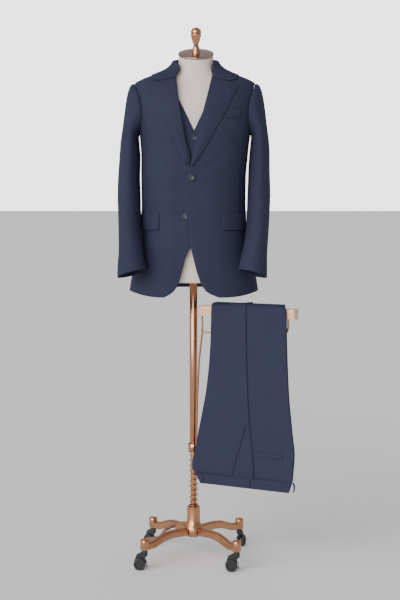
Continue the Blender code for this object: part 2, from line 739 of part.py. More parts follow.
class Sleeve(Skin):
    """u is the angle round the sleeve, v runs 0 to 1 over the head and 1 to 2 down to the cuff."""

    def __init__(self, side):
        self.side = SIDES[side]
        falling = tuple(tuple(-value if place == 0 else value for place, value in enumerate(row))
                        for row in SLEEVE_SECTIONS)
        self.table = Table(SLEEVE_COLUMNS, falling)
        super().__init__(self.sleeve_point, (2.0 * self.side, 0.01))

    def ring(self, theta, z):
        turn = math.radians(theta + self.table.at("twist", -z))
        out = self.table.at("half_width", -z) * math.cos(turn)
        back = -self.table.at("half_depth", -z) * math.sin(turn)
        x = self.side * (self.table.at("reach", -z) + out) + self.table.at("shift", -z)
        y = self.table.at("depth", -z) + back
        height = z + self.table.at("lean", -z) * out + self.table.at("pitch", -z) * back
        return np.array((x, y, height))

    def start(self, theta):
        """The armhole's edge, a seam's gap inside the opening."""
        turn = math.radians(theta)
        angle = ARM_SIDE - (ARM_ANGLE - 0.35) * math.sin(turn)
        return self.side * angle, ARM_MIDDLE + (ARM_HEIGHT - 0.0009) * math.cos(turn)

    def sleeve_point(self, theta, v):
        first = SLEEVE_SECTIONS[0][0]
        last = SLEEVE_SECTIONS[-1][0]
        if v > 1.0:
            return self.ring(theta, first + (last - first) * (v - 1.0))
        angle, z = self.start(theta)
        a = JACKET.point(angle, z)
        b = self.ring(theta, first)
        span = np.linalg.norm(b - a)
        leave = JACKET.normal(angle, z) * span * SLEEVE_HEAD_PULL
        below = self.ring(theta, first - 0.02)
        arrive = (below - b) / np.linalg.norm(below - b) * span
        return ((1 + 2 * v) * (1 - v) ** 2 * a + v * (1 - v) ** 2 * leave
                + v * v * (3 - 2 * v) * b + v * v * (v - 1) * arrive)

    def rows(self):
        first = SLEEVE_SECTIONS[0][0]
        last = SLEEVE_SECTIONS[-1][0]
        below = [1.0 + (z - first) / (last - first) for z in SLEEVE_ROW_HEIGHTS]
        return list(SLEEVE_HEAD_STEPS) + below


def sleeve_pieces(builder, side):
    sleeve = Sleeve(side)
    half = SLEEVE_SEAM / 2
    top = [theta - 360 for theta in ARM_BACK] + list(ARM_FRONT[1:]) + [SLEEVE_FRONT_SEAM]
    under = list(ARM_UNDER[1:])
    for name, angles in (("top_sleeve_", top), ("under_sleeve_", under)):
        grid = [[(theta, v, 0.0) for theta in reversed(angles)] for v in reversed(sleeve.rows())]
        panel(builder, name + side, sleeve, grid, "navy_wool", (0, 0, half, half))
    return sleeve


# Collar and lapels

def lapel_piece(builder, side):
    """The lapel lies on the front, folds round its free edge and ends at the gorge."""
    sign = SIDES[side]
    first = 1.306 if side == "right" else 1.296
    heights = [first] + [z for z, angle in front_rows() if 1.30 < z < 1.579] + [1.5785]
    steps = (0.0, 0.10, 0.28, 0.47, NOTCH_PLACE, 0.84, 1.0)
    outer = []
    inner = []
    low, high = LAPEL_EDGE[1][0] + 0.001, LAPEL_EDGE[-1][0]
    for z in heights:
        share = (z - first) / (heights[-1] - first)
        z_edge = low + (high - low) * share
        x_fold = JACKET_FRONT_EDGE.at(side, z)
        x_edge = LAPEL_OUTER_EDGE.at(side, z_edge)
        outer_row = []
        inner_row = []
        for step in steps:
            x = x_fold + (x_edge - x_fold) * step
            height = z + (z_edge - z) * step
            peak = step / NOTCH_PLACE if step < NOTCH_PLACE else (1 - step) / (1 - NOTCH_PLACE)
            height += NOTCH_RISE * ease((share - 0.7) / 0.3) * peak
            angle = JACKET.angle(x, height)
            base = JACKET.at(angle, height, front_out(side, x, height))
            normal = JACKET.normal(angle, height)
            roll = 0.0030 * math.sin(math.pi * step) * (1 - share) + 0.0012 * math.sin(math.pi * step)
            if step == 0.0:
                ahead = JACKET.point(angle + sign, height) - JACKET.point(angle, height)
                ahead /= np.linalg.norm(ahead)
                outer_row.append(base - 0.0022 * ahead - 0.0012 * normal)
                inner_row.append(base - 0.0005 * ahead - 0.0014 * normal)
                outer_row.append(base - 0.0014 * ahead + 0.0026 * normal)
                inner_row.append(base - 0.0004 * ahead + 0.0006 * normal)
            else:
                outer_row.append(base + (ON_TOP + roll) * normal)
                inner_row.append(base + (ON_TOP + roll - WALL) * normal)
        outer.append(outer_row)
        inner.append(inner_row)
    wall(builder, "lapel_" + side, outer, inner, "navy_wool")


def collar_point(stations, sign, along, share):
    """Angle and height on the collar's fall, share 0 at its outer edge and 1 at its fold."""
    places = []
    for column in ("angle", "z"):
        for spot in (along, 0.0):
            edge = stations.at("edge_" + column, spot)
            places.append(edge + (stations.at("fold_" + column, spot) - edge) * share)
    angle, first_angle, z, first_z = places
    shares, right, left, heights = zip(*COLLAR_ENDS)
    end_z = float(np.interp(share, shares, heights))
    end_x = float(np.interp(share, shares, left if sign > 0 else right))
    fade = 1 - ease(along / COLLAR_END_FADE)
    angle += (sign * JACKET.angle(end_x, end_z) - first_angle) * fade
    return angle, z + (end_z - first_z) * fade


def collar(builder):
    """Fall, fold and stand in one strip round the back of the neck."""
    stations = Table(COLLAR_COLUMNS, COLLAR_STATIONS)
    places = list(COLLAR_FRONT) + [0.4 + 0.6 * step for step in BACK_STEPS]
    line = [(-1.0, along) for along in places] + [(1.0, along) for along in places[-2::-1]]
    outer = []
    inner = []
    for sign, along in line:
        outer_row = []
        inner_row = []
        for share in (0.0, 0.25, 0.45, 0.70, 0.88):
            angle, z = collar_point(stations, sign, along, share)
            normal = JACKET.normal(sign * angle, z)
            base = JACKET.point(sign * angle, z)
            roll = 0.0012 * math.sin(math.pi * share) + 0.0010 * share
            outer_row.append(base + (COLLAR_GAP + roll) * normal)
            inner_row.append(base + (COLLAR_GAP + roll - WALL) * normal)
        angle, z = collar_point(stations, sign, along, 1.0)
        base = JACKET.point(sign * angle, z)
        flat = JACKET.normal(sign * angle, z)
        foot_z = min(STAND_FOOT, z - 0.003) if along > 0.2 else z - 0.003
        foot = JACKET.point(sign * angle, foot_z)
        if along <= 0.2:
            ahead = JACKET.point(sign * (angle + 1.0), z) - base
            ahead /= np.linalg.norm(ahead)
            outer_row.append(base - 0.0014 * ahead + 0.0026 * flat)
            inner_row.append(base - 0.0004 * ahead + 0.0006 * flat)
            outer_row.append(base - 0.0018 * ahead + 0.0007 * flat)
            inner_row.append(base - 0.00045 * ahead - 0.0004 * flat)
            outer_row.append(base - 0.0022 * ahead - 0.0012 * flat)
            inner_row.append(base - 0.0005 * ahead - 0.0014 * flat)
        else:
            above = JACKET.point(sign * angle, z + 0.002) - base
            above /= np.linalg.norm(above)
            outer_row.append(base - FOLD_BACK * flat + FOLD_RISE * above)
            inner_row.append(base + FOLD_BACK / 2 * flat)
            middle_z = (z + foot_z) / 2
            middle = JACKET.point(sign * angle, middle_z)
            inward = JACKET.normal(sign * angle, middle_z)
            outer_row.append(middle - STAND_OUT * 0.8 * inward)
            inner_row.append(middle - STAND_IN * 0.5 * inward)
            inward = JACKET.normal(sign * angle, foot_z)
            outer_row.append(foot - STAND_OUT * inward)
            inner_row.append(foot - STAND_IN * inward)
        outer.append(outer_row)
        inner.append(inner_row)
    wall(builder, "collar", outer, inner, "navy_wool")


# Pockets and buttons of the jacket

def flap(builder, side):
    start, end = FLAP_ANGLES[side]
    grid = []
    rows = ((FLAP_BOTTOM, 1.6), (FLAP_BOTTOM + 0.006, 0.4), (FLAP_BOTTOM + 0.020, 0.0), (FLAP_TOP, 0.0))
    for z, corner in rows:
        row = []
        for step in (0.0, 0.10, 0.28, 0.46, 0.64, 0.82, 1.0):
            angle = start + corner + (end - start - 2 * corner) * step
            place = SIDES[side] * angle
            x = JACKET.point(place, z)[0]
            row.append((place, z, front_out(side, x, z) + ON_TOP + FLAP_LIFT))
        grid.append(row)
    panel(builder, "flap_" + side, JACKET, grid, "navy_wool")


def breast_welt(builder):
    grid = []
    for lift in (0.0, 1.0):
        row = []
        for step in (0.0, 0.5, 1.0):
            x = WELT_X[0] + (WELT_X[1] - WELT_X[0]) * step
            z = WELT_Z + (lift - 0.5) * WELT_HEIGHT + WELT_RISE * step
            row.append((JACKET.angle(x, z), z, ON_TOP))
        grid.append(row)
    panel(builder, "breast_welt", JACKET, grid, "navy_wool")


def button_profile(radius, thick):
    return ((radius * 0.80, 0.0), (radius, thick * 0.45), (radius * 0.93, thick),
            (radius * 0.72, thick), (radius * 0.60, thick * 0.72))


def facing(place, normal):
    """A frame whose Z axis is a surface's normal."""
    normal = Vector(normal)
    side = Vector((0, 0, 1)).cross(normal).normalized()
    up = normal.cross(side)
    matrix = Matrix((side, up, normal)).transposed().to_4x4()
    matrix.translation = Vector(place)
    return matrix


def button(builder, name, skin, angle, z, out, radius, thick, segments=14):
    normal = skin.normal(angle, z)
    place = skin.at(angle, z, out + SEAM)
    vertices, faces = turned(button_profile(radius, thick), segments)
    vertices = moved(vertices, facing(place, normal))
    return builder.solid(name, vertices, faces, "button_navy", tuple(place))


def jacket_buttons(builder):
    x, z = BUTTON_UPPER
    button(builder, "button_upper", JACKET, JACKET.angle(x, z), z, 0.0005, BUTTON_RADIUS, BUTTON_THICK)
    x, z = BUTTON_LOWER
    button(builder, "button_lower", JACKET, JACKET.angle(x, z), z, -LAP, BUTTON_RADIUS, BUTTON_THICK)


def cuff_buttons(builder, side, sleeve):
    """Four buttons that touch each other, made as one piece of overlapping discs."""
    v = 1.0 + (CUFF_BUTTON_FIRST - SLEEVE_SECTIONS[0][0]) / (SLEEVE_SECTIONS[-1][0] - SLEEVE_SECTIONS[0][0])
    row = None
    for i in range(CUFF_BUTTONS):
        name = "cuff_buttons_" + side
        made = button(builder, name if row is None else name + "_more", sleeve, CUFF_BUTTON_ANGLE, v,
                      0.0006, CUFF_BUTTON_RADIUS, 0.0028, 12)
        row = made if row is None else builder.join(row, made)
        pace = np.linalg.norm(sleeve.point(CUFF_BUTTON_ANGLE, v) - sleeve.point(CUFF_BUTTON_ANGLE, v - 0.01))
        v -= 0.01 * CUFF_BUTTON_PITCH / pace


# Waistcoat

def waist_arm(z):
    """Angle of the waistcoat's armhole edge at a height."""
    if z <= WAIST_ARM_LOW or z >= WAIST_ARM_HIGH:
        return ARM_SIDE
    middle = (WAIST_ARM_LOW + WAIST_ARM_HIGH) / 2
    share = (z - middle) / (WAIST_ARM_HIGH - middle)
    return ARM_SIDE - WAIST_ARM_ANGLE * math.sqrt(max(0.0, 1 - share * share))


def waist_hem(angle, z):
    rise = 0.045 * ease((abs(angle) - 12) / 50)
    return z + rise * (1 - ease((z - WAIST_HEM) / 0.15))


def waistcoat_front(builder, side):
    grid = []
    for z in WAIST_ROWS + WAIST_ARM_ROWS + WAIST_TOP_ROWS:
        start = WAISTCOAT.angle(WAISTCOAT_FRONT_EDGE.at(side, z), z)
        end = SIDES[side] * waist_arm(z)
        row = []
        for step in WAIST_STEPS:
            angle = start + (end - start) * step
            height = waist_hem(angle, z)
            x = WAISTCOAT.point(angle, height)[0]
            out = -WAIST_LAP * ease((x + 0.050) / 0.030) if side == "right" else 0.0
            row.append((angle, height, out))
        grid.append(row)
    half = SEAM / 2
    panel(builder, "waistcoat_front_" + side, WAISTCOAT, grid, "navy_wool", (0, half, 0, half))


def waistcoat_back(builder):
    grid = []
    for z in WAIST_ROWS + WAIST_ARM_ROWS + WAIST_TOP_ROWS:
        start = 180.0 - waist_arm(z)
        row = []
        for step in WAIST_BACK_STEPS:
            angle = start + (360.0 - 2 * start) * step
            row.append((angle, waist_hem(min(angle, 360 - angle), z), 0.0))
        grid.append(row)
    half = SEAM / 2
    panel(builder, "waistcoat_back", WAISTCOAT, grid, "navy_wool", (0, half, half, half))


def waistcoat_buttons(builder):
    for number, z in enumerate(WAISTCOAT_BUTTONS, 1):
        angle = WAISTCOAT.angle(WAISTCOAT_BUTTON_X, z)
        button(builder, "waistcoat_button_%d" % number, WAISTCOAT, angle, z, 0.0,
               WAISTCOAT_BUTTON_RADIUS, 0.0024, 10)


# Dress form

def form_body(builder):
    form = Torso(FORM_COLUMNS, FORM_SECTIONS)
    rings = []
    for row in FORM_SECTIONS:
        ring = []
        for i in range(FORM_SIDES):
            point = form.point(360.0 * i / FORM_SIDES, row[0])
            point[2] += row[6] * point[1]
            ring.append(point)
        rings.append(ring)
    vertices, faces = rings_solid(rings)
    builder.solid("form_body", vertices, faces, "linen")


def cap_height(y):
    return CAP_CENTRE[2] + CAP_TILT * y


def neck_cap(builder):
    edge = 0.0016
    profile = ((CAP_RADIUS - edge, 0.0), (CAP_RADIUS, edge), (CAP_RADIUS, CAP_THICK - edge),
               (CAP_RADIUS - edge, CAP_THICK))
    vertices, faces = turned(profile, 28)
    lean = Matrix.Rotation(math.atan(CAP_TILT), 4, "X")
    vertices = moved(vertices, Matrix.Translation(CAP_CENTRE) @ lean)
    builder.solid("neck_cap", vertices, faces, "cap_metal", CAP_CENTRE)


def finial(builder):
    """Stands upright on the sloping cap, so its lowest ring follows the cap's face."""
    foot = cap_height(0) + CAP_THICK / math.cos(math.atan(CAP_TILT)) + SEAM + 0.0001
    vertices, faces = turned(FINIAL_PROFILE, 16)
    placed = []
    for x, y, z in vertices:
        slope = CAP_TILT * y if z == 0.0 else 0.35 * CAP_TILT * y if z < 0.015 else 0.0
        placed.append((x + CAP_CENTRE[0], y + CAP_CENTRE[1], z + foot + slope))
    builder.solid("finial", placed, faces, "copper", (CAP_CENTRE[0], CAP_CENTRE[1], foot))


# Stand

def pole(builder):
    outer = ((POLE_BORE, POLE_FOOT), (POLE_RADIUS, POLE_FOOT), (POLE_RADIUS, FORM_FOOT - SEAM),
             (POLE_BORE, FORM_FOOT - SEAM))
    vertices, faces = turned(outer, 18, closed=True)
    builder.solid("pole_outer", vertices, faces, "copper")
    inner = ((INNER_RADIUS, INNER_FOOT), (INNER_RADIUS, INNER_TOP))
    vertices, faces = turned(inner, 18)
    builder.solid("pole_inner", vertices, faces, "copper")


def spring(builder):
    """Wound round the inner pole, its end turns closed up."""
    top = POLE_FOOT - SEAM - SPRING_WIRE
    low = SPRING_FOOT + SPRING_WIRE
    path = []
    steps = SPRING_TURNS * SPRING_STEPS
    for i in range(steps + 1):
        share = i / steps
        turn = 2 * math.pi * i / SPRING_STEPS
        dead = 1.0 / SPRING_TURNS
        climb = min(max((share - dead) / (1 - 2 * dead), 0.0), 1.0)
        lift = 0.0033 * (min(share / dead, 1.0) + min(max((share - 1 + dead) / dead, 0.0), 1.0))
        z = low + (top - low - 0.0066) * climb + lift
        path.append((SPRING_RADIUS * math.cos(turn), SPRING_RADIUS * math.sin(turn), z))
    vertices, faces = rod(path, SPRING_WIRE, 4)
    builder.solid("spring", vertices, faces, "copper", (0, 0, SPRING_FOOT), 60.0)


def socket(builder):
    """Upright socket, open at the top, with a flared foot where the legs are welded on."""
    floor = INNER_FOOT - SEAM
    profile = ((0.0, SOCKET_FOOT), (0.0240, SOCKET_FOOT), (HUB_RADIUS, 0.0830), (HUB_RADIUS, 0.1070),
               (0.0250, 0.1160), (SOCKET_RADIUS, 0.1300), (SOCKET_RADIUS, SOCKET_TOP),
               (SOCKET_BORE, SOCKET_TOP), (SOCKET_BORE, floor), (0.0, floor))
    vertices, faces = turned(profile, 20)
    builder.solid("socket", vertices, faces, "copper")


def leg_direction(index):
    turn = math.radians(LEG_ANGLES[index] + LEG_TURN)
    return Vector((math.cos(turn), math.sin(turn), 0.0))


def leg(builder, index):
    """One arched leg with the upright boss that takes the castor's stem."""
    ahead = leg_direction(index)
    across = Vector((-ahead.y, ahead.x, 0.0))
    rings = []
    for reach, bottom, top, half in LEG_SECTIONS:
        ring = []
        corner = LEG_CORNER
        shape = ((-half, bottom), (half, bottom), (half, top - corner), (half - corner, top),
                 (corner - half, top), (-half, top - corner))
        for side, z in shape:
            ring.append(ahead * reach + across * side + Vector((0, 0, z)))
        rings.append(ring)
    rings[-1] = [p + ahead * 0.0040 for p in rings[-1]]
    vertices, faces = rings_solid(rings)
    name = "leg_" + LEG_NAMES[index]
    made = builder.solid(name, vertices, faces, "copper")
    spot = ahead * LEG_REACH
    profile = ((BOSS_RADIUS - 0.001, BOSS_FOOT), (BOSS_RADIUS, BOSS_FOOT + 0.001),
               (BOSS_RADIUS, BOSS_TOP - 0.003), (BOSS_RADIUS - 0.003, BOSS_TOP))
    vertices, faces = turned(profile, 16)
    boss = builder.solid("boss", moved(vertices, Matrix.Translation(spot)), faces, "copper")
    made = builder.join(made, boss)
    bore = ((BOSS_BORE, BOSS_FOOT - 0.01), (BOSS_BORE, STEM_TOP + 0.0006))
    vertices, faces = turned(bore, 12)
    cutter = builder.solid("bore", moved(vertices, Matrix.Translation(spot)), faces, "copper")
    builder.join(made, cutter, "DIFFERENCE")


def axle_height():
    return WHEEL_RADIUS * math.cos(math.pi / WHEEL_SIDES)


def castor(builder, index):
    """Stem, top plate and arm in one piece, with a twin wheel on an axle through the arm."""
    name = LEG_NAMES[index]
    angle, trail = TRAIL[name]
    spot = leg_direction(index) * LEG_REACH
    frame = Matrix.Translation(spot) @ Matrix.Rotation(math.radians(angle), 4, "Z")
    stem = ((STEM_RADIUS, 0.0480), (STEM_RADIUS, STEM_TOP))
    vertices, faces = turned(stem, 12)
    arm = builder.solid("castor_arm_" + name, moved(vertices, frame), faces, "black_plastic", tuple(spot))
    plate = ((0.0090, 0.0450), (0.0100, 0.0480), (0.0100, 0.0590), (0.0075, 0.0630))
    vertices, faces = turned(plate, 12)
    arm = builder.join(arm, builder.solid("plate", moved(vertices, frame), faces, "black_plastic"))
    half = ARM_THICK / 2
    outline = ((-0.006, 0.0460), (0.006, 0.0600), (trail + 0.0100, 0.0500), (trail + 0.0122, 0.0440),
               (trail + 0.0172, 0.0300), (trail + 0.0150, 0.0190), (trail + 0.006, 0.0120),
               (trail - 0.006, 0.0120), (trail - 0.013, 0.0290))
    low = [(x, -half, z) for x, z in outline]
    high = [(x, half, z) for x, z in outline]
    vertices, faces = rings_solid([low, high])
    arm = builder.join(arm, builder.solid("web", moved(vertices, frame), faces, "black_plastic"))
    axle_frame = frame @ Matrix.Translation((trail, 0, axle_height())) @ Matrix.Rotation(math.pi / 2, 4, "X")
    hole = ((AXLE_BORE, -0.01), (AXLE_BORE, 0.01))
    vertices, faces = turned(hole, 12)
    cutter = builder.solid("hole", moved(vertices, axle_frame), faces, "black_plastic")
    builder.join(arm, cutter, "DIFFERENCE")
    groove = WHEEL_GROOVE / 2
    side = WHEEL_WIDTH / 2
    lip = WHEEL_RADIUS - 0.0020
    wheel = ((0.0060, -side), (lip, -side), (WHEEL_RADIUS, -side + 0.0015), (WHEEL_RADIUS, -groove),
             (AXLE_RADIUS, -groove), (AXLE_RADIUS, groove), (WHEEL_RADIUS, groove),
             (WHEEL_RADIUS, side - 0.0015), (lip, side), (0.0060, side))
    vertices, faces = turned(wheel, WHEEL_SIDES)
    centre = (axle_frame @ Vector((0, 0, 0)))[:]
    builder.solid("castor_wheel_" + name, moved(vertices, axle_frame), faces, "black_plastic", centre)


def brake(builder, index):
    """Brake lever of a front castor, pivoted on the arm's top edge behind the wheel."""
    name = LEG_NAMES[index]
    angle, trail = TRAIL[name]
    spot = leg_direction(index) * LEG_REACH
    frame = Matrix.Translation(spot) @ Matrix.Rotation(math.radians(angle), 4, "Z")
    turns = [math.radians(turn) for turn in (140, 155, 172, 190, 204)]
    rings = []
    for place, turn in enumerate(turns):
        low = BRAKE_RADIUS - 0.0013
        high = BRAKE_RADIUS + (0.004 if place == 4 else 0.0006)
        ring = []
        for radius, width in ((low, -0.009), (low, 0.009), (high, 0.009), (high, -0.009)):
            ring.append((trail + radius * math.cos(turn), width, axle_height() + radius * math.sin(turn)))
        rings.append(moved(ring, frame))
    vertices, faces = rings_solid(rings)
    pivot = (frame @ Vector((trail - 0.0205, 0, axle_height() + 0.0115)))[:]
    builder.solid("brake_" + name, vertices, faces, "black_plastic", pivot)


def pedal(builder):
    """Foot lever hinged at the socket's foot, bent down to a tread between two legs."""
    turn = math.radians(PEDAL_TURN)
    ahead = Vector((math.cos(turn), math.sin(turn), 0))
    across = Vector((-ahead.y, ahead.x, 0))
    rings = []
    for reach, half, height, thick in PEDAL_SECTIONS:
        middle = ahead * reach + Vector((0, 0, height))
        up = Vector((0, 0, thick))
        rings.append([middle - across * half - up, middle + across * half - up,
                      middle + across * half + up, middle - across * half + up])
    vertices, faces = rings_solid(rings)
    reach, half, height, thick = PEDAL_SECTIONS[0]
    hinge = ahead * reach + Vector((0, 0, height - thick))
    builder.solid("pedal", vertices, faces, "copper", tuple(hinge))


# Trouser bar

def bar_frame():
    """Frame of the bar: X along it from its left end, -Y out toward the front."""
    return Matrix.Translation((*BAR_START, 0)) @ Matrix.Rotation(math.radians(BAR_TURN), 4, "Z")


def trouser_bar(builder):
    edge = 0.0030
    low, high = BAR_TOP - 2 * BAR_HALF, BAR_TOP
    rings = []
    for x in (0.0, BAR_LENGTH):
        shape = ((-BAR_HALF, low + edge), (edge - BAR_HALF, low), (BAR_HALF - edge, low),
                 (BAR_HALF, low + edge), (BAR_HALF, high - edge), (BAR_HALF - edge, high),
                 (edge - BAR_HALF, high), (-BAR_HALF, high - edge))
        rings.append([(x, y, z) for y, z in shape])
    vertices, faces = rings_solid(rings)
    builder.solid("trouser_bar", moved(vertices, bar_frame()), faces, "pale_wood")


def curve_points(controls, steps):
    """Points along a smooth curve through its controls."""
    controls = [Vector(c) for c in controls]
    padded = [controls[0] * 2 - controls[1]] + controls + [controls[-1] * 2 - controls[-2]]
    points = []
    for i in range(1, len(padded) - 2):
        a, b, c, d = padded[i - 1:i + 3]
        for k in range(steps):
            t = k / steps
            points.append(0.5 * (2 * b + (c - a) * t + (2 * a - 5 * b + 4 * c - d) * t * t
                                 + (3 * b - a - 3 * c + d) * t * t * t))
    points.append(controls[-1])
    return points


def bar_support(builder):
    """Long rod up to the bar's left end, a stay to its right end and the clamp on the pole."""
    frame = bar_frame()
    top = frame @ Vector((ROD_TOP[0], 0, ROD_TOP[1]))
    joint = frame @ Vector((ROD_TOP[0], 0, STAY_HEIGHT))
    foot = Vector((0.0092, -0.0146, ROD_FOOT + CLAMP_HEIGHT / 2))
    controls = [top, joint, Vector((0.0190, -0.0235, ROD_BEND_TOP)),
                Vector((0.0133, -0.0180, 0.5340)), foot + Vector((0.0010, -0.0014, 0.0450)), foot]
    vertices, faces = rod(curve_points(controls, 3), ROD_RADIUS, 8)
    made = builder.solid("bar_support", vertices, faces, "copper")
    stay = [(ROD_TOP[0], 0, STAY_HEIGHT), (0.10, 0, STAY_HEIGHT - 0.0010),
            (STAY_END - STAY_BEND * 2, 0, STAY_HEIGHT), (STAY_END - STAY_BEND * 0.45, 0, STAY_HEIGHT + 0.0080),
            (STAY_END, 0, STAY_HEIGHT + STAY_BEND), (STAY_END, 0, BAR_TOP - 2 * BAR_HALF - 0.0008)]
    vertices, faces = rod([frame @ p for p in curve_points(stay, 2)], ROD_RADIUS, 8)
    made = builder.join(made, builder.solid("stay", vertices, faces, "copper"))
    low = ROD_FOOT
    ring = ((CLAMP_BORE, low), (CLAMP_RADIUS, low), (CLAMP_RADIUS, low + CLAMP_HEIGHT),
            (CLAMP_BORE, low + CLAMP_HEIGHT))
    vertices, faces = turned(ring, 18, closed=True)
    builder.join(made, builder.solid("clamp", vertices, faces, "copper"))


# Folded trousers

class Hanging(Skin):
    """The trousers' faces over the bar. u runs along the bar, v up the front and down the back."""

    def __init__(self, out):
        self.out = out
        self.reach = BAR_HALF + out
        self.corner = FOLD_ROUND + out
        self.flat_end = BAR_TOP + out - self.corner
        self.frame = bar_frame()
        super().__init__(self.hanging_point, (0.002, 0.002))

    def lengths(self):
        rise = self.flat_end - WAIST_FOOT
        bend = self.corner * math.pi / 2
        top = 2 * (self.reach - self.corner)
        return rise, bend, top

    def hanging_point(self, along, run):
        rise, bend, top = self.lengths()
        if run < rise:
            y, z = -self.reach, WAIST_FOOT + run
        elif run < rise + bend:
            turn = (run - rise) / self.corner
            y = -self.reach + self.corner * (1 - math.cos(turn))
            z = self.flat_end + self.corner * math.sin(turn)
        elif run < rise + bend + top:
            y, z = -self.reach + self.corner + (run - rise - bend), BAR_TOP + self.out
        elif run < rise + 2 * bend + top:
            turn = (run - rise - bend - top) / self.corner
            y = self.reach - self.corner * (1 - math.sin(turn))
            z = self.flat_end + self.corner * math.cos(turn)
        else:
            y, z = self.reach, self.flat_end - (run - rise - 2 * bend - top)
        return np.array(self.frame @ Vector((along, y, z)))

    def runs(self):
        """Places of the rows: up the front, over the two corners and down to the hems."""
        rise, bend, top = self.lengths()
        over = [rise, rise + bend / 2, rise + bend, rise + bend + top, rise + 1.5 * bend + top,
                rise + 2 * bend + top]
        drop = self.flat_end - HEM_FOOT
        down = [over[-1] + drop * share for share in (0.3, 0.65, 1.0)]
        return list(FRONT_RUNS) + over + down


TROUSERS = Table(TROUSER_COLUMNS, TROUSER_ROWS)
INNER_SKIN = Hanging(CLOTH_GAP + PLY)
OUTER_SKIN = Hanging(CLOTH_GAP + PLY + SEAM + WALL)


def hidden_layers(builder):
    """The three plies under the visible side in one rounded solid, grooved at its edges."""
    skin = INNER_SKIN
    groove = LAYER_GROOVE
    rings = []
    for run in [0.004] + skin.runs():
        left = TROUSERS.at("left", run) + 0.0020
        right = TROUSERS.at("right", run) - 0.0020
        edge = ((0.0, 0.0008), (-0.0008, 0.0024), (-groove, 0.0033), (-0.0004, 0.0042),
                (-0.0004, 0.0058), (-groove, 0.0066), (-0.0008, 0.0075), (0.0, PLY - 0.0006))
        ring = []
        for back, depth in edge:
            ring.append(skin.at(left - back - groove / 2, run, -depth))
        ring.append(skin.at((left + right) / 2, run, -PLY))
        for back, depth in reversed(edge):
            ring.append(skin.at(right + back + groove / 2, run, -depth))
        ring.append(skin.at((left + right) / 2, run, 0.0))
        rings.append(ring)
    vertices, faces = rings_solid(rings)
    builder.solid("trouser_layers", vertices, faces, "navy_dark")


def trouser_runs():
    return [BAND_HEIGHT] + OUTER_SKIN.runs()


def trouser_front(builder):
    """Outer front half of the leg, which folds a little over the back half at the side."""
    grid = []
    for run in trouser_runs():
        left = TROUSERS.at("left", run)
        fold = TROUSERS.at("fold", run)
        row = [(left, run, 0.0)]
        for share in (0.10, 0.35, 0.65, 0.85):
            row.append((left + (fold - left) * share, run, FRONT_LIFT * ease((share - 0.6) / 0.4)))
        row.append((fold, run, FRONT_LIFT))
        grid.append(row)
    panel(builder, "trouser_front_panel", OUTER_SKIN, grid, "navy_wool", (SEAM, 0, 0, 0))


def trouser_back(builder):
    grid = []
    for run in trouser_runs():
        fold = TROUSERS.at("fold", run) - FOLD_OVER
        right = TROUSERS.at("right", run)
        row = [(fold + (right - fold) * share, run, 0.0) for share in (0.0, 0.12, 0.45, 0.8, 1.0)]
        grid.append(row)
    panel(builder, "trouser_back_panel", OUTER_SKIN, grid, "navy_wool", (SEAM, 0, 0, 0))


def waistband(builder):
    grid = []
    for run in (0.0, 0.016, BAND_HEIGHT - SEAM):
        left = TROUSERS.at("left", run)
        right = TROUSERS.at("right", run)
        row = [(left + (right - left) * share, run, 0.0004) for share in (0, 0.2, 0.4, 0.6, 0.8, 1)]
        grid.append(row)
    panel(builder, "waistband", OUTER_SKIN, grid, "navy_wool")


def belt_loops(builder):
    for number, along in enumerate(LOOP_PLACES, 1):
        grid = []
        for run in (0.001, BAND_HEIGHT / 2, BAND_HEIGHT - 0.001):
            row = [(along - LOOP_HALF, run, 0.0004 + SEAM + LOOP_THICK),
                   (along + LOOP_HALF, run, 0.0004 + SEAM + LOOP_THICK)]
            grid.append(row)
        panel(builder, "belt_loop_%d" % number, OUTER_SKIN, grid, "navy_wool", thick=LOOP_THICK)


def open_loop(builder):
    """The loop at the back crease, which stands off the band's edge."""
    frame = bar_frame()
    edge = TROUSERS.at("right", BAND_HEIGHT + 0.004) + 0.0004
    depth = -(OUTER_SKIN.reach - 0.004)
    rings = []
    shape = ((0.0, 0.0012), (0.0045, 0.0040), (0.0062, 0.0120), (0.0062, 0.0220), (0.0045, 0.0300),
             (0.0, 0.0330))
    for out, rise in shape:
        ring = []
        for along, side in ((0.0, -LOOP_HALF), (0.0, LOOP_HALF), (LOOP_THICK, LOOP_HALF),
                            (LOOP_THICK, -LOOP_HALF)):
            ring.append(frame @ Vector((edge + out + along, depth + side, WAIST_FOOT + rise)))
        rings.append(ring)
    vertices, faces = rings_solid(rings)
    builder.solid("belt_loop_open", vertices, faces, "navy_wool")


def back_welt(builder):
    (start, low_start), (end, low_end) = BACK_WELT
    grid = []
    for lift in (0.0, 1.0):
        row = []
        for share in (0.0, 0.5, 1.0):
            z = low_start + (low_end - low_start) * share + lift * BACK_WELT_HEIGHT
            row.append((start + (end - start) * share, z - WAIST_FOOT, ON_TOP))
        grid.append(row)
    panel(builder, "back_pocket_welt", OUTER_SKIN, grid, "navy_wool")


def pocket_facing(builder):
    """Edge of the slanted front pocket, a narrow strip on the front panel."""
    (top, z_top), (low, z_low) = SLANT
    grid = []
    for share in (0.0, 0.33, 0.67, 1.0):
        along = low + (top - low) * share
        run = z_low + (z_top - z_low) * share - WAIST_FOOT
        row = []
        for width in (0.0, 0.008):
            lift = FRONT_LIFT * ease(((along + width) / TROUSERS.at("fold", run) - 0.6) / 0.4)
            row.append((along + width, run, lift + ON_TOP + 0.0006))
        grid.append(row)
    panel(builder, "pocket_edge", OUTER_SKIN, grid, "navy_wool")


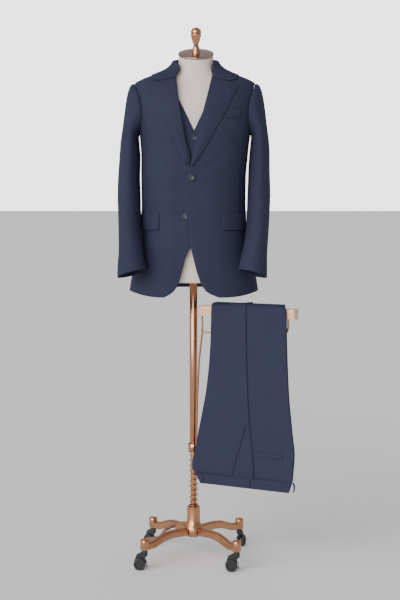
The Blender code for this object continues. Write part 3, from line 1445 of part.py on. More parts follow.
def main():
    clear_scene()
    builder = Builder()
    for side in SIDES:
        jacket_front(builder, side)
        jacket_side(builder, side)
        jacket_back(builder, side)
        sleeve = sleeve_pieces(builder, side)
        cuff_buttons(builder, side, sleeve)
        lapel_piece(builder, side)
        flap(builder, side)
        waistcoat_front(builder, side)
    collar(builder)
    breast_welt(builder)
    jacket_buttons(builder)
    waistcoat_back(builder)
    waistcoat_buttons(builder)
    form_body(builder)
    neck_cap(builder)
    finial(builder)
    pole(builder)
    spring(builder)
    socket(builder)
    for index in range(4):
        leg(builder, index)
        castor(builder, index)
    brake(builder, 0)
    brake(builder, 1)
    pedal(builder)
    trouser_bar(builder)
    bar_support(builder)
    hidden_layers(builder)
    trouser_front(builder)
    trouser_back(builder)
    waistband(builder)
    belt_loops(builder)
    open_loop(builder)
    back_welt(builder)
    pocket_facing(builder)


main()
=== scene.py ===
import math

import bmesh
import bpy
import numpy as np
from bpy.props import FloatProperty, FloatVectorProperty, IntProperty, PointerProperty
from bpy.types import Operator, Panel, PropertyGroup
from mathutils import Matrix, Vector


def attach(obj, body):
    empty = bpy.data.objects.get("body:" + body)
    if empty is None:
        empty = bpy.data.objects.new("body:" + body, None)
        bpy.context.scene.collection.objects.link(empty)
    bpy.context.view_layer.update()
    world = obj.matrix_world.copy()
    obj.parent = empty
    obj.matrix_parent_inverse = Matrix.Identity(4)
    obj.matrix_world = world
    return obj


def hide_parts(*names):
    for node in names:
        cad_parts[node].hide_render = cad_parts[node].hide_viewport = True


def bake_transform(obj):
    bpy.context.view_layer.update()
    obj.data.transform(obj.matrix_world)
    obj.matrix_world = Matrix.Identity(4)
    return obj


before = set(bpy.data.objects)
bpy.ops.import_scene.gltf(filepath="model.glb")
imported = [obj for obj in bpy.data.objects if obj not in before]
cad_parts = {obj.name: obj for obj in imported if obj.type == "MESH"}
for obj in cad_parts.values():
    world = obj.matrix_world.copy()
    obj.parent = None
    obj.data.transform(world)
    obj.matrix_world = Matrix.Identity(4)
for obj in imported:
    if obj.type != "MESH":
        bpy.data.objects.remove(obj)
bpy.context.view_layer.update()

bl_info = {
    "name": "Three-Piece Suit on a Dress Form",
    "version": (1, 0, 0),
    "blender": (4, 5, 0),
    "location": "View3D > Sidebar > Suit",
    "description": "Dresses the packed suit, form and stand with cloth shells, turned metal and a studio",
    "category": "Object",
}

# Where the pole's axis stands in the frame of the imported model
PLACE = (-0.0428, 0.0164, 0.0)

# Cloth walls and gaps, the same as in the solids
WALL = 0.0020
SEAM = 0.0003
CLOTH_SEAM = 0.0002
HEAD_TUCK = 0.0004
LAPEL_HOLE = ((0.1021, 1.5432), (0.1200, 1.5320))
LAPEL_HOLE_ROLL = 0.0013
FRONT_HOLE = ((-0.0060, 1.1395), (0.0130, 1.1395))
HOLE_RADIUS = 0.0007
ON_TOP = WALL + 2 * SEAM
LAP = 0.0028

# Jacket: horizontal sections of its outer face, from the hem to the top of the neck
SECTION_COLUMNS = ("z", "half_width", "front", "back", "middle", "square")
JACKET_SECTIONS = (
    (0.8600, 0.2160, 0.1340, 0.1280, 0.0015, 2.30),
    (0.8745, 0.2140, 0.1340, 0.1280, 0.0015, 2.30),
    (0.9300, 0.2055, 0.1360, 0.1280, 0.0015, 2.30),
    (0.9800, 0.1945, 0.1370, 0.1260, 0.0015, 2.30),
    (1.0400, 0.1820, 0.1370, 0.1220, 0.0015, 2.30),
    (1.1000, 0.1725, 0.1340, 0.1130, 0.0020, 2.30),
    (1.1800, 0.1705, 0.1290, 0.1000, 0.0005, 2.30),
    (1.2600, 0.1718, 0.1300, 0.1020, 0.0005, 2.30),
    (1.3400, 0.1755, 0.1360, 0.1120, 0.0040, 2.30),
    (1.4000, 0.1815, 0.1390, 0.1200, 0.0050, 2.35),
    (1.4500, 0.1900, 0.1370, 0.1240, 0.0055, 2.40),
    (1.5000, 0.1955, 0.1280, 0.1230, 0.0052, 2.40),
    (1.5450, 0.1985, 0.1060, 0.1120, 0.0052, 2.30),
    (1.5660, 0.1975, 0.0900, 0.0980, 0.0052, 2.20),
    (1.5800, 0.1770, 0.0780, 0.0880, 0.0058, 2.10),
    (1.5930, 0.1440, 0.0690, 0.0800, 0.0055, 2.10),
    (1.6060, 0.1080, 0.0635, 0.0740, 0.0065, 2.10),
    (1.6200, 0.0850, 0.0610, 0.0700, 0.0068, 2.10),
    (1.6400, 0.0720, 0.0595, 0.0665, 0.0070, 2.10),
    (1.6700, 0.0680, 0.0580, 0.0650, 0.0070, 2.10),
)
WAISTCOAT_SECTIONS = (
    (1.0300, 0.1720, 0.1285, 0.1140, 0.0015, 2.30),
    (1.1000, 0.1610, 0.1240, 0.1050, 0.0020, 2.30),
    (1.1800, 0.1570, 0.1190, 0.0920, 0.0025, 2.30),
    (1.2600, 0.1590, 0.1200, 0.0940, 0.0030, 2.30),
    (1.3400, 0.1640, 0.1260, 0.1040, 0.0040, 2.30),
    (1.4000, 0.1700, 0.1290, 0.1120, 0.0050, 2.35),
    (1.4500, 0.1780, 0.1270, 0.1160, 0.0055, 2.40),
    (1.5000, 0.1825, 0.1180, 0.1150, 0.0052, 2.40),
    (1.5450, 0.1840, 0.0960, 0.1040, 0.0052, 2.30),
    (1.5600, 0.1760, 0.0840, 0.0930, 0.0054, 2.20),
    (1.5750, 0.1530, 0.0700, 0.0810, 0.0058, 2.10),
    (1.5880, 0.1260, 0.0630, 0.0740, 0.0065, 2.10),
    (1.6000, 0.0960, 0.0585, 0.0680, 0.0068, 2.10),
    (1.6200, 0.0740, 0.0565, 0.0640, 0.0070, 2.10),
)
FORM_COLUMNS = ("z", "half_width", "front", "back", "middle", "square", "tilt")
FORM_SECTIONS = (
    (0.9200, 0.1550, 0.1060, 0.1010, 0.0010, 2.20, 0.0),
    (0.9260, 0.1600, 0.1100, 0.1050, 0.0010, 2.20, 0.0),
    (1.0000, 0.1630, 0.1150, 0.1060, 0.0015, 2.20, 0.0),
    (1.1000, 0.1510, 0.1160, 0.0960, 0.0020, 2.20, 0.0),
    (1.1800, 0.1470, 0.1110, 0.0830, 0.0025, 2.20, 0.0),
    (1.2600, 0.1490, 0.1120, 0.0850, 0.0030, 2.20, 0.0),
    (1.3400, 0.1540, 0.1180, 0.0950, 0.0040, 2.20, 0.0),
    (1.4000, 0.1600, 0.1210, 0.1030, 0.0050, 2.25, 0.0),
    (1.4500, 0.1685, 0.1190, 0.1060, 0.0055, 2.30, 0.0),
    (1.5000, 0.1715, 0.1100, 0.1040, 0.0054, 2.30, 0.0),
    (1.5400, 0.1680, 0.0870, 0.0910, 0.0056, 2.20, 0.0),
    (1.5560, 0.1560, 0.0740, 0.0800, 0.0060, 2.10, 0.0),
    (1.5700, 0.1310, 0.0640, 0.0730, 0.0068, 2.05, 0.0),
    (1.5830, 0.1020, 0.0570, 0.0660, 0.0082, 2.00, 0.0),
    (1.5970, 0.0760, 0.0545, 0.0600, 0.0084, 2.00, 0.0),
    (1.6120, 0.0620, 0.0530, 0.0570, 0.0085, 2.00, 0.0),
    (1.6300, 0.0572, 0.0520, 0.0550, 0.0085, 2.00, 0.15),
    (1.6600, 0.0565, 0.0535, 0.0550, 0.0085, 2.00, 0.40),
)

# Where each piece's free edge runs: height against its place across the body
EDGE_COLUMNS = ("z", "right", "left")
JACKET_EDGE = (
    (0.8700, -0.1000, 0.0880),
    (0.8770, -0.0890, 0.0775),
    (0.8900, -0.0665, 0.0455),
    (0.9020, -0.0570, 0.0359),
    (0.9150, -0.0490, 0.0263),
    (0.9410, -0.0410, 0.0167),
    (0.9660, -0.0345, 0.0087),
    (0.9920, -0.0280, 0.0023),
    (1.0180, -0.0185, -0.0040),
    (1.0410, -0.0080, -0.0095),
    (1.1050, 0.0060, -0.0137),
    (1.1450, 0.0090, -0.0246),
    (1.2214, 0.0100, -0.0290),
    (1.2520, 0.0080, -0.0214),
    (1.2830, -0.0020, -0.0137),
    (1.2960, -0.0080, -0.0078),
    (1.3250, -0.0128, -0.0015),
    (1.3770, -0.0265, 0.0090),
    (1.4060, -0.0315, 0.0147),
    (1.4700, -0.0425, 0.0333),
    (1.5370, -0.0525, 0.0505),
    (1.5860, -0.0579, 0.0614),
    (1.6313, -0.0634, 0.0676),
    (1.6600, -0.0660, 0.0700),
)
LAPEL_EDGE = (
    (1.2900, -0.0200, -0.0070),
    (1.3014, -0.0265, 0.0020),
    (1.3226, -0.0371, 0.0200),
    (1.3600, -0.0535, 0.0430),
    (1.4120, -0.0757, 0.0712),
    (1.4700, -0.1045, 0.1041),
    (1.5100, -0.1250, 0.1212),
    (1.5280, -0.1340, 0.1326),
    (1.5544, -0.1396, 0.1447),
)
WAISTCOAT_EDGE = (
    (1.0400, -0.0160, 0.0200),
    (1.0850, 0.0080, -0.0040),
    (1.1100, 0.0140, -0.0100),
    (1.3700, 0.0140, -0.0100),
    (1.3900, 0.0100, -0.0055),
    (1.4088, 0.0014, 0.0030),
    (1.4634, -0.0241, 0.0285),
    (1.5200, -0.0511, 0.0555),
    (1.5700, -0.0736, 0.0780),
    (1.6000, -0.0826, 0.0890),
)

# Armhole, hem and waistcoat armhole
ARM_SIDE = 90.0
ARM_ANGLE = 30.0
ARM_MIDDLE = 1.483
ARM_HEIGHT = 0.083
HEM = 0.8745
HEM_RISE = 0.0160
HEM_BACK = 0.0185
NECK_TOP = 1.6200
SIDE_BLEND = 1.300
WAIST_HEM = 1.050
WAIST_ARM_LOW = 1.360
WAIST_ARM_HIGH = 1.575
WAIST_ARM_ANGLE = 36.0
WAIST_LAP = 0.0026

SLEEVE_COLUMNS = ("z", "reach", "shift", "depth", "half_width", "half_depth", "lean", "pitch", "twist")
SLEEVE_SECTIONS = (
    (1.4050, 0.2095, 0.0050, -0.0040, 0.0270, 0.0710, 0.90, 0.00, 0.0),
    (1.3400, 0.2121, 0.0045, -0.0050, 0.0342, 0.0710, 0.35, 0.00, 3.0),
    (1.2600, 0.2125, 0.0020, -0.0120, 0.0365, 0.0680, 0.00, 0.00, 10.0),
    (1.1800, 0.2103, 0.0018, -0.0340, 0.0388, 0.0640, 0.00, -0.05, 20.0),
    (1.1000, 0.2060, 0.0010, -0.0700, 0.0385, 0.0590, -0.06, -0.12, 31.0),
    (1.0300, 0.1990, -0.0010, -0.1060, 0.0400, 0.0530, -0.14, -0.18, 42.0),
    (0.9850, 0.1950, -0.0030, -0.1260, 0.0440, 0.0480, -0.20, -0.20, 47.0),
    (0.9525, 0.1920, -0.0035, -0.1370, 0.0468, 0.0455, -0.26, -0.20, 50.0),
)
SLEEVE_FRONT_SEAM = 115
SLEEVE_HEAD_PULL = 0.55

# Collar
COLLAR_COLUMNS = ("along", "edge_angle", "edge_z", "fold_angle", "fold_z")
COLLAR_STATIONS = (
    (0.00, 40.5, 1.5745, 15.6, 1.5808),
    (0.10, 50.0, 1.5810, 27.0, 1.6040),
    (0.22, 66.0, 1.5890, 50.0, 1.6300),
    (0.40, 90.0, 1.5970, 90.0, 1.6400),
    (0.60, 120.0, 1.5890, 120.0, 1.6460),
    (0.80, 150.0, 1.5760, 150.0, 1.6500),
    (1.00, 180.0, 1.5710, 180.0, 1.6520),
)
COLLAR_GAP = 0.0030
# Columns: share, right, left, z
COLLAR_ENDS = (
    (0.00, -0.1310, 0.1385, 1.5745),
    (0.45, -0.1118, 0.1164, 1.5686),
    (1.00, -0.0573, 0.0603, 1.5803),
)
COLLAR_END_FADE = 0.14
NOTCH_PLACE = 0.66
NOTCH_RISE = 0.0045
STAND_FOOT = 1.6206

# Pockets and buttons
FLAP_TOP = 1.1406
FLAP_BOTTOM = 1.0908
FLAP_LIFT = 0.0009
FLAP_ANGLES = {"right": (37.3, 82.0), "left": (28.6, 74.0)}
WELT_X = (0.1080, 0.1500)
WELT_Z = 1.4600
WELT_HEIGHT = 0.0220
WELT_RISE = 0.0050
BUTTON_UPPER = (-0.0051, 1.2598)
BUTTON_LOWER = (-0.0239, 1.1350)
BUTTON_RADIUS = 0.0100
BUTTON_THICK = 0.0030
BUMP_HEIGHT = 0.0042
BUMP_SPREAD = (0.030, 0.035)
CUFF_BUTTON_RADIUS = 0.0080
CUFF_BUTTON_PITCH = 0.0150
CUFF_BUTTON_FIRST = 0.9790
CUFF_BUTTON_ANGLE = -78.0
CUFF_BUTTONS = 4
WAISTCOAT_BUTTONS = (1.385, 1.315, 1.245, 1.175)
WAISTCOAT_BUTTON_RADIUS = 0.0075
WAISTCOAT_BUTTON_X = 0.0022

# Neck cap and finial
CAP_RADIUS = 0.0585
CAP_THICK = 0.0060
CAP_TILT = 0.40
CAP_CENTRE = (0.0085, 0.0, 1.6608)
FINIAL_PROFILE = (
    (0.0125, 0.0), (0.0122, 0.010), (0.0098, 0.020), (0.0070, 0.0255), (0.0092, 0.0300),
    (0.0125, 0.0380), (0.0155, 0.0500), (0.0172, 0.0570), (0.0172, 0.0600), (0.0155, 0.0622),
    (0.0172, 0.0645), (0.0166, 0.0710), (0.0135, 0.0770), (0.0080, 0.0812), (0.0, 0.0830),
)

# Pole, spring and socket
POLE_RADIUS = 0.01275
POLE_BORE = 0.0108
POLE_FOOT = 0.3575
FORM_FOOT = 0.9200
INNER_RADIUS = 0.0100
INNER_FOOT = 0.0960
INNER_TOP = 0.5600
SPRING_RADIUS = 0.01425
SPRING_WIRE = 0.0015
SPRING_FOOT = 0.1743
SPRING_TURNS = 12
SOCKET_RADIUS = 0.0215
SOCKET_TOP = 0.1740
SOCKET_FOOT = 0.0750
SOCKET_BORE = 0.0104
HUB_RADIUS = 0.0300

# Legs and castors
LEG_COLUMNS = ("reach", "bottom", "top", "half_width")
LEG_SECTIONS = (
    (0.0318, 0.0800, 0.1050, 0.0100),
    (0.0550, 0.0815, 0.1075, 0.0100),
    (0.0850, 0.0830, 0.1085, 0.0100),
    (0.1200, 0.0800, 0.1060, 0.0100),
    (0.1500, 0.0710, 0.0970, 0.0100),
    (0.1720, 0.0640, 0.0890, 0.0100),
    (0.1960, 0.0630, 0.0860, 0.0100),
)
LEG_REACH = 0.2090
LEG_TURN = -3.3
BOSS_RADIUS = 0.0140
BOSS_FOOT = 0.0635
BOSS_TOP = 0.0990
BOSS_BORE = 0.0045
LEG_NAMES = ("front_right", "front_left", "back_left", "back_right")
LEG_ANGLES = (225.0, 315.0, 45.0, 135.0)
WHEEL_RADIUS = 0.0200
WHEEL_SIDES = 16
WHEEL_WIDTH = 0.0220
WHEEL_GROOVE = 0.0066
AXLE_RADIUS = 0.0030
TRAIL = {"front_right": (180.0, 0.0160), "front_left": (180.0, 0.0175),
         "back_left": (65.0, 0.0165), "back_right": (140.0, 0.0165)}

# Trouser bar and folded trousers
BAR_START = (0.0250, -0.0300)
BAR_TURN = -28.1
BAR_LENGTH = 0.3400
BAR_HALF = 0.0165
BAR_TOP = 0.8430
BAR_EDGE = 0.0030
ROD_RADIUS = 0.00325
ROD_FOOT = 0.3590
CLAMP_RADIUS = 0.0180
CLAMP_HEIGHT = 0.0240
ROD_TOP = (0.0042, 0.8092)
ROD_BEND_TOP = 0.6600
STAY_HEIGHT = 0.7550
STAY_END = 0.3120
STAY_BEND = 0.0260
PLY = 0.0098
CLOTH_GAP = 0.0004
FOLD_ROUND = 0.0032
WAIST_FOOT = 0.2640
HEM_FOOT = 0.4300
TROUSER_COLUMNS = ("run", "left", "fold", "right")
TROUSER_ROWS = (
    (0.000, 0.0120, 0.2080, 0.3275),
    (0.018, 0.0025, 0.2075, 0.3325),
    (0.032, -0.0080, 0.2070, 0.3375),
    (0.046, -0.0180, 0.2060, 0.3400),
    (0.064, -0.0180, 0.2050, 0.3415),
    (0.090, -0.0115, 0.2030, 0.3440),
    (0.125, -0.0030, 0.2000, 0.3455),
    (0.170, 0.0055, 0.1950, 0.3400),
    (0.230, 0.0185, 0.1890, 0.3333),
    (0.300, 0.0325, 0.1850, 0.3262),
    (0.400, 0.0450, 0.1810, 0.3208),
    (0.480, 0.0500, 0.1790, 0.3180),
    (0.574, 0.0524, 0.1780, 0.3155),
    (0.600, 0.0528, 0.1778, 0.3080),
    (0.627, 0.0532, 0.1774, 0.2960),
    (0.652, 0.0536, 0.1770, 0.2870),
    (0.850, 0.0640, 0.1750, 0.2800),
    (1.100, 0.0790, 0.1730, 0.2740),
)
BAND_HEIGHT = 0.0320
FOLD_OVER = 0.0100
FRONT_LIFT = 0.0026
SLANT = ((0.1700, 0.464), (0.1192, 0.301))
BACK_WELT = ((0.2150, 0.3740), (0.3060, 0.3690))
BACK_WELT_HEIGHT = 0.0100
LOOP_PLACES = (0.0180, 0.1880)
LOOP_HALF = 0.0045
LOOP_THICK = 0.0016

# Creases pressed or hung into the cloth: ends, half width and height (below 0 is a trough)
# Columns: start, end, spread, height
FRONT_CREASES = (
    ((-0.012, 1.262), (-0.085, 1.300), 0.010, -0.0016),
    ((-0.012, 1.250), (-0.100, 1.205), 0.012, -0.0018),
    ((0.006, 1.262), (0.080, 1.315), 0.010, -0.0016),
    ((0.006, 1.248), (0.105, 1.200), 0.012, -0.0018),
    ((-0.105, 1.440), (-0.150, 1.340), 0.012, -0.0022),
    ((0.112, 1.430), (0.158, 1.335), 0.012, -0.0022),
    ((-0.070, 1.080), (-0.085, 0.930), 0.018, 0.0014),
    ((0.075, 1.080), (0.090, 0.930), 0.018, 0.0014),
)
BACK_CREASES = (
    ((-0.120, 1.480), (-0.105, 1.330), 0.014, -0.0026),
    ((0.130, 1.480), (0.115, 1.330), 0.014, -0.0026),
    ((-0.090, 1.175), (0.095, 1.165), 0.012, -0.0018),
    ((-0.075, 1.130), (0.080, 1.135), 0.010, 0.0014),
    ((-0.060, 1.060), (-0.075, 0.910), 0.020, 0.0018),
    ((0.060, 1.060), (0.075, 0.910), 0.020, 0.0018),
)
SLEEVE_CREASES = (
    ((150.0, 0.62), (60.0, 0.52), 16.0, -0.0022),
    ((160.0, 0.70), (70.0, 0.66), 16.0, -0.0018),
    ((170.0, 0.45), (95.0, 0.34), 16.0, -0.0018),
    ((-60.0, 0.60), (10.0, 0.68), 18.0, -0.0012),
    ((60.0, 0.86), (150.0, 0.90), 14.0, -0.0014),
    ((-20.0, 0.10), (40.0, 0.22), 16.0, -0.0012),
)
TROUSER_CREASES = (
    ((0.182, 0.545), (0.224, 0.427), 0.008, 0.0026),
    ((0.224, 0.427), (0.263, 0.259), 0.008, 0.0030),
    ((0.263, 0.259), (0.301, 0.163), 0.009, 0.0026),
    ((0.075, 0.540), (0.050, 0.150), 0.012, 0.0012),
    ((0.120, 0.520), (0.105, 0.330), 0.014, 0.0010),
    ((0.235, 0.540), (0.285, 0.420), 0.009, 0.0012),
    ((0.240, 0.090), (0.290, 0.075), 0.010, 0.0010),
)

SIDES = {"left": 1.0, "right": -1.0}


# Geometry helpers

class Table:
    """A short table with named columns, read smoothly against its first column."""

    def __init__(self, columns, rows):
        values = np.array(rows, dtype=float)
        self.key = values[:, 0]
        self.columns = {}
        for place, name in enumerate(columns):
            self.columns[name] = (values[:, place], self.slopes(values[:, place]))

    def slopes(self, heights):
        """Slopes that keep a smooth curve from overshooting its rows."""
        gaps = np.diff(self.key)
        rises = np.diff(heights) / gaps
        slopes = np.zeros(len(heights))
        slopes[0] = rises[0]
        slopes[-1] = rises[-1]
        for i in range(1, len(heights) - 1):
            if rises[i - 1] * rises[i] > 0:
                before = 2 * gaps[i] + gaps[i - 1]
                after = gaps[i] + 2 * gaps[i - 1]
                slopes[i] = (before + after) / (before / rises[i - 1] + after / rises[i])
        return slopes

    def at(self, name, key):
        heights, slopes = self.columns[name]
        key = min(max(key, self.key[0]), self.key[-1])
        i = min(int(np.searchsorted(self.key, key, side="right")) - 1, len(self.key) - 2)
        gap = self.key[i + 1] - self.key[i]
        t = (key - self.key[i]) / gap
        return ((1 + 2 * t) * (1 - t) ** 2 * heights[i] + t * (1 - t) ** 2 * gap * slopes[i]
                + t * t * (3 - 2 * t) * heights[i + 1] + t * t * (t - 1) * gap * slopes[i + 1])


def ease(value):
    """0 below 0, 1 above 1 and smooth between."""
    value = min(max(value, 0.0), 1.0)
    return value * value * (3 - 2 * value)


def spread(low, high, count):
    return [low + (high - low) * i / count for i in range(count + 1)]


def crease_height(creases, u, v, stretch=1.0):
    """Height of the soft folds at a place, each one along a short line that fades at its ends."""
    total = 0.0
    for (u0, v0), (u1, v1), width, height in creases:
        du = u1 - u0
        dv = (v1 - v0) * stretch
        pu = u - u0
        pv = (v - v0) * stretch
        along = (pu * du + pv * dv) / (du * du + dv * dv)
        side = abs(pu * dv - pv * du) / math.sqrt(du * du + dv * dv)
        if -0.3 < along < 1.3 and side < 3 * width:
            fade = ease((along + 0.3) / 0.5) * ease((1.3 - along) / 0.5)
            total += height * fade * math.exp(-(side / width) ** 2)
    return total


class Skin:
    """A surface read by two numbers, with points moved out along its normal."""

    def __init__(self, point, steps):
        self.point = point
        self.steps = steps

    def normal(self, u, v):
        du, dv = self.steps
        across = self.point(u + du, v) - self.point(u - du, v)
        up = self.point(u, v + dv) - self.point(u, v - dv)
        direction = np.cross(across, up)
        return direction / np.linalg.norm(direction)


class Torso(Skin):
    """Rounded horizontal sections. u is the angle from the front toward the wearer's left."""

    def __init__(self, columns, rows):
        self.table = Table(columns, rows)
        super().__init__(self.section_point, (0.5, 0.002))

    def section_point(self, angle, z):
        turn = math.radians(angle)
        power = 2.0 / self.table.at("square", z)
        side = math.sin(turn)
        front = math.cos(turn)
        depth = self.table.at("front" if front > 0 else "back", z)
        x = self.table.at("half_width", z) * math.copysign(abs(side) ** power, side)
        y = -depth * math.copysign(abs(front) ** power, front)
        return np.array((x + self.table.at("middle", z), y, z))

    def angle(self, x, z):
        """The angle at which the front of the section at height z passes through x."""
        share = (x - self.table.at("middle", z)) / self.table.at("half_width", z)
        reach = min(abs(share), 1.0) ** (self.table.at("square", z) / 2.0)
        return math.degrees(math.copysign(math.asin(reach), share))


JACKET = Torso(SECTION_COLUMNS, JACKET_SECTIONS)
WAISTCOAT = Torso(SECTION_COLUMNS, WAISTCOAT_SECTIONS)
JACKET_FRONT_EDGE = Table(EDGE_COLUMNS, JACKET_EDGE)
LAPEL_OUTER_EDGE = Table(EDGE_COLUMNS, LAPEL_EDGE)
WAISTCOAT_FRONT_EDGE = Table(EDGE_COLUMNS, WAISTCOAT_EDGE)
TROUSERS = Table(TROUSER_COLUMNS, TROUSER_ROWS)


def arm_hole(theta):
    """Angle from the front and height of the armhole, theta from its top toward the front."""
    turn = math.radians(theta)
    return ARM_SIDE - ARM_ANGLE * math.sin(turn), ARM_MIDDLE + ARM_HEIGHT * math.cos(turn)


def hem_shape(angle, z):
    """Height of a row at an angle: the hem rises toward the sides and back."""
    rise = HEM_RISE * ease((abs(angle) - 25) / 55)
    rise += (HEM_BACK - HEM_RISE) * ease((abs(angle) - 90) / 90)
    return z + rise * (1 - ease((z - HEM) / 0.12))


def front_out(side, x, z):
    """How far a front lies from the jacket's surface: the right one dips under the left one."""
    if side == "right":
        return -LAP * ease((x + 0.078) / 0.036) * (1 - ease((z - 1.32) / 0.10))
    across = (x - BUTTON_LOWER[0]) / BUMP_SPREAD[0]
    up = (z - BUTTON_LOWER[1]) / BUMP_SPREAD[1]
    return BUMP_HEIGHT * math.exp(-0.5 * (across * across + up * up))


class Sleeve(Skin):
    """u is the angle round the sleeve, v runs 0 to 1 over the head and 1 to 2 down to the cuff."""

    def __init__(self, side):
        self.side = SIDES[side]
        falling = tuple(tuple(-value if place == 0 else value for place, value in enumerate(row))
                        for row in SLEEVE_SECTIONS)
        self.table = Table(SLEEVE_COLUMNS, falling)
        super().__init__(self.sleeve_point, (2.0 * self.side, 0.01))

    def ring(self, theta, z):
        turn = math.radians(theta + self.table.at("twist", -z))
        out = self.table.at("half_width", -z) * math.cos(turn)
        back = -self.table.at("half_depth", -z) * math.sin(turn)
        x = self.side * (self.table.at("reach", -z) + out) + self.table.at("shift", -z)
        y = self.table.at("depth", -z) + back
        height = z + self.table.at("lean", -z) * out + self.table.at("pitch", -z) * back
        return np.array((x, y, height))

    def start(self, theta):
        """The armhole's edge, a seam's gap inside the opening."""
        turn = math.radians(theta)
        angle = ARM_SIDE - (ARM_ANGLE - 0.06) * math.sin(turn)
        return self.side * angle, ARM_MIDDLE + (ARM_HEIGHT - CLOTH_SEAM) * math.cos(turn)

    def outward(self, angle, z):
        """From a point on the armhole's edge toward its middle, across the opening."""
        step = JACKET.point(self.side * ARM_SIDE, ARM_MIDDLE) - JACKET.point(angle, z)
        return step / np.linalg.norm(step)

    def sleeve_point(self, theta, v):
        first = SLEEVE_SECTIONS[0][0]
        last = SLEEVE_SECTIONS[-1][0]
        if v > 1.0:
            return self.ring(theta, first + (last - first) * (v - 1.0))
        angle, z = self.start(theta)
        a = JACKET.point(angle, z) - HEAD_TUCK * self.outward(angle, z)
        b = self.ring(theta, first)
        span = np.linalg.norm(b - a)
        leave = JACKET.normal(angle, z) * span * SLEEVE_HEAD_PULL
        below = self.ring(theta, first - 0.02)
        arrive = (below - b) / np.linalg.norm(below - b) * span
        return ((1 + 2 * v) * (1 - v) ** 2 * a + v * (1 - v) ** 2 * leave
                + v * v * (3 - 2 * v) * b + v * v * (v - 1) * arrive)


class Hanging(Skin):
    """The trousers' faces over the bar. u runs along the bar, v up the front and down the back."""

    def __init__(self, out):
        self.out = out
        self.reach = BAR_HALF + out
        self.corner = FOLD_ROUND + out
        self.flat_end = BAR_TOP + out - self.corner
        super().__init__(self.hanging_point, (0.002, 0.002))

    def lengths(self):
        rise = self.flat_end - WAIST_FOOT
        bend = self.corner * math.pi / 2
        top = 2 * (self.reach - self.corner)
        return rise, bend, top

    def hanging_point(self, along, run):
        rise, bend, top = self.lengths()
        if run < rise:
            y, z = -self.reach, WAIST_FOOT + run
        elif run < rise + bend:
            turn = (run - rise) / self.corner
            y = -self.reach + self.corner * (1 - math.cos(turn))
            z = self.flat_end + self.corner * math.sin(turn)
        elif run < rise + bend + top:
            y, z = -self.reach + self.corner + (run - rise - bend), BAR_TOP + self.out
        elif run < rise + 2 * bend + top:
            turn = (run - rise - bend - top) / self.corner
            y = self.reach - self.corner * (1 - math.sin(turn))
            z = self.flat_end + self.corner * math.cos(turn)
        else:
            y, z = self.reach, self.flat_end - (run - rise - 2 * bend - top)
        return np.array(BAR_FRAME @ Vector((along, y, z)))

    def end(self):
        rise, bend, top = self.lengths()
        return rise + 2 * bend + top + self.flat_end - HEM_FOOT


BAR_FRAME = Matrix.Translation((*BAR_START, 0)) @ Matrix.Rotation(math.radians(BAR_TURN), 4, "Z")
INNER_SKIN = Hanging(CLOTH_GAP + PLY)
OUTER_SKIN = Hanging(CLOTH_GAP + PLY + SEAM + WALL)


# Mesh makers

def new_piece(name, vertices, faces, material, body, replaced=(), sharp=60.0, uvs=None):
    """Adds a finished mesh piece that rides on a body and takes the place of its solids."""
    mesh = bpy.data.meshes.new(name)
    mesh.from_pydata([tuple(v) for v in vertices], [], faces)
    if uvs is not None:
        layer = mesh.uv_layers.new(name="cloth")
        order = np.empty(len(mesh.loops), dtype=np.int32)
        mesh.loops.foreach_get("vertex_index", order)
        layer.data.foreach_set("uv", np.asarray(uvs, dtype=np.float32)[order].ravel())
    mesh.transform(Matrix.Translation(PLACE))
    sides = bmesh.new()
    sides.from_mesh(mesh)
    bmesh.ops.recalc_face_normals(sides, faces=sides.faces)
    sides.to_mesh(mesh)
    sides.free()
    mesh.shade_smooth()
    mesh.set_sharp_from_angle(angle=math.radians(sharp))
    mesh.materials.append(material)
    piece = bpy.data.objects.new(name, mesh)
    bpy.context.scene.collection.objects.link(piece)
    if body:
        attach(piece, body)
    if replaced:
        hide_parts(*replaced)
    return piece


def shell_mesh(outer, inner):
    """Closed cloth wall between two grids, with a rounded rim."""
    rows, columns = outer.shape[:2]
    count = rows * columns
    faces = []
    for r in range(rows - 1):
        for c in range(columns - 1):
            a = r * columns + c
            faces.append((a, a + 1, a + columns + 1, a + columns))
            faces.append((count + a, count + a + columns, count + a + columns + 1, count + a + 1))
    rim = [(0, c) for c in range(columns)]
    rim += [(r, columns - 1) for r in range(1, rows)]
    rim += [(rows - 1, c) for c in range(columns - 2, -1, -1)]
    rim += [(r, 0) for r in range(rows - 2, 0, -1)]
    middles = []
    for r, c in rim:
        away = np.zeros(3)
        if r in (0, rows - 1):
            away += outer[r, c] - outer[1 if r == 0 else rows - 2, c]
        if c in (0, columns - 1):
            away += outer[r, c] - outer[r, 1 if c == 0 else columns - 2]
        thick = np.linalg.norm(outer[r, c] - inner[r, c])
        away *= 0.38 * thick / max(np.linalg.norm(away), 1e-9)
        middles.append((outer[r, c] + inner[r, c]) / 2 + away)
    indices = [r * columns + c for r, c in rim]
    size = len(rim)
    for i in range(size):
        j = (i + 1) % size
        mid_i, mid_j = 2 * count + i, 2 * count + j
        faces.append((indices[j], indices[i], mid_i, mid_j))
        faces.append((mid_j, mid_i, count + indices[i], count + indices[j]))
    vertices = np.concatenate((outer.reshape(-1, 3), inner.reshape(-1, 3), np.array(middles)))
    across = np.zeros((rows, columns))
    along = np.zeros((rows, columns))
    across[:, 1:] = np.cumsum(np.linalg.norm(np.diff(outer, axis=1), axis=2), axis=1)
    along[1:, :] = np.cumsum(np.linalg.norm(np.diff(outer, axis=0), axis=2), axis=0)
    across -= across[:, columns // 2:columns // 2 + 1]
    flat = np.stack((across, along), axis=2).reshape(-1, 2)
    uvs = np.concatenate((flat, flat, flat[indices]))
    return vertices, faces, uvs


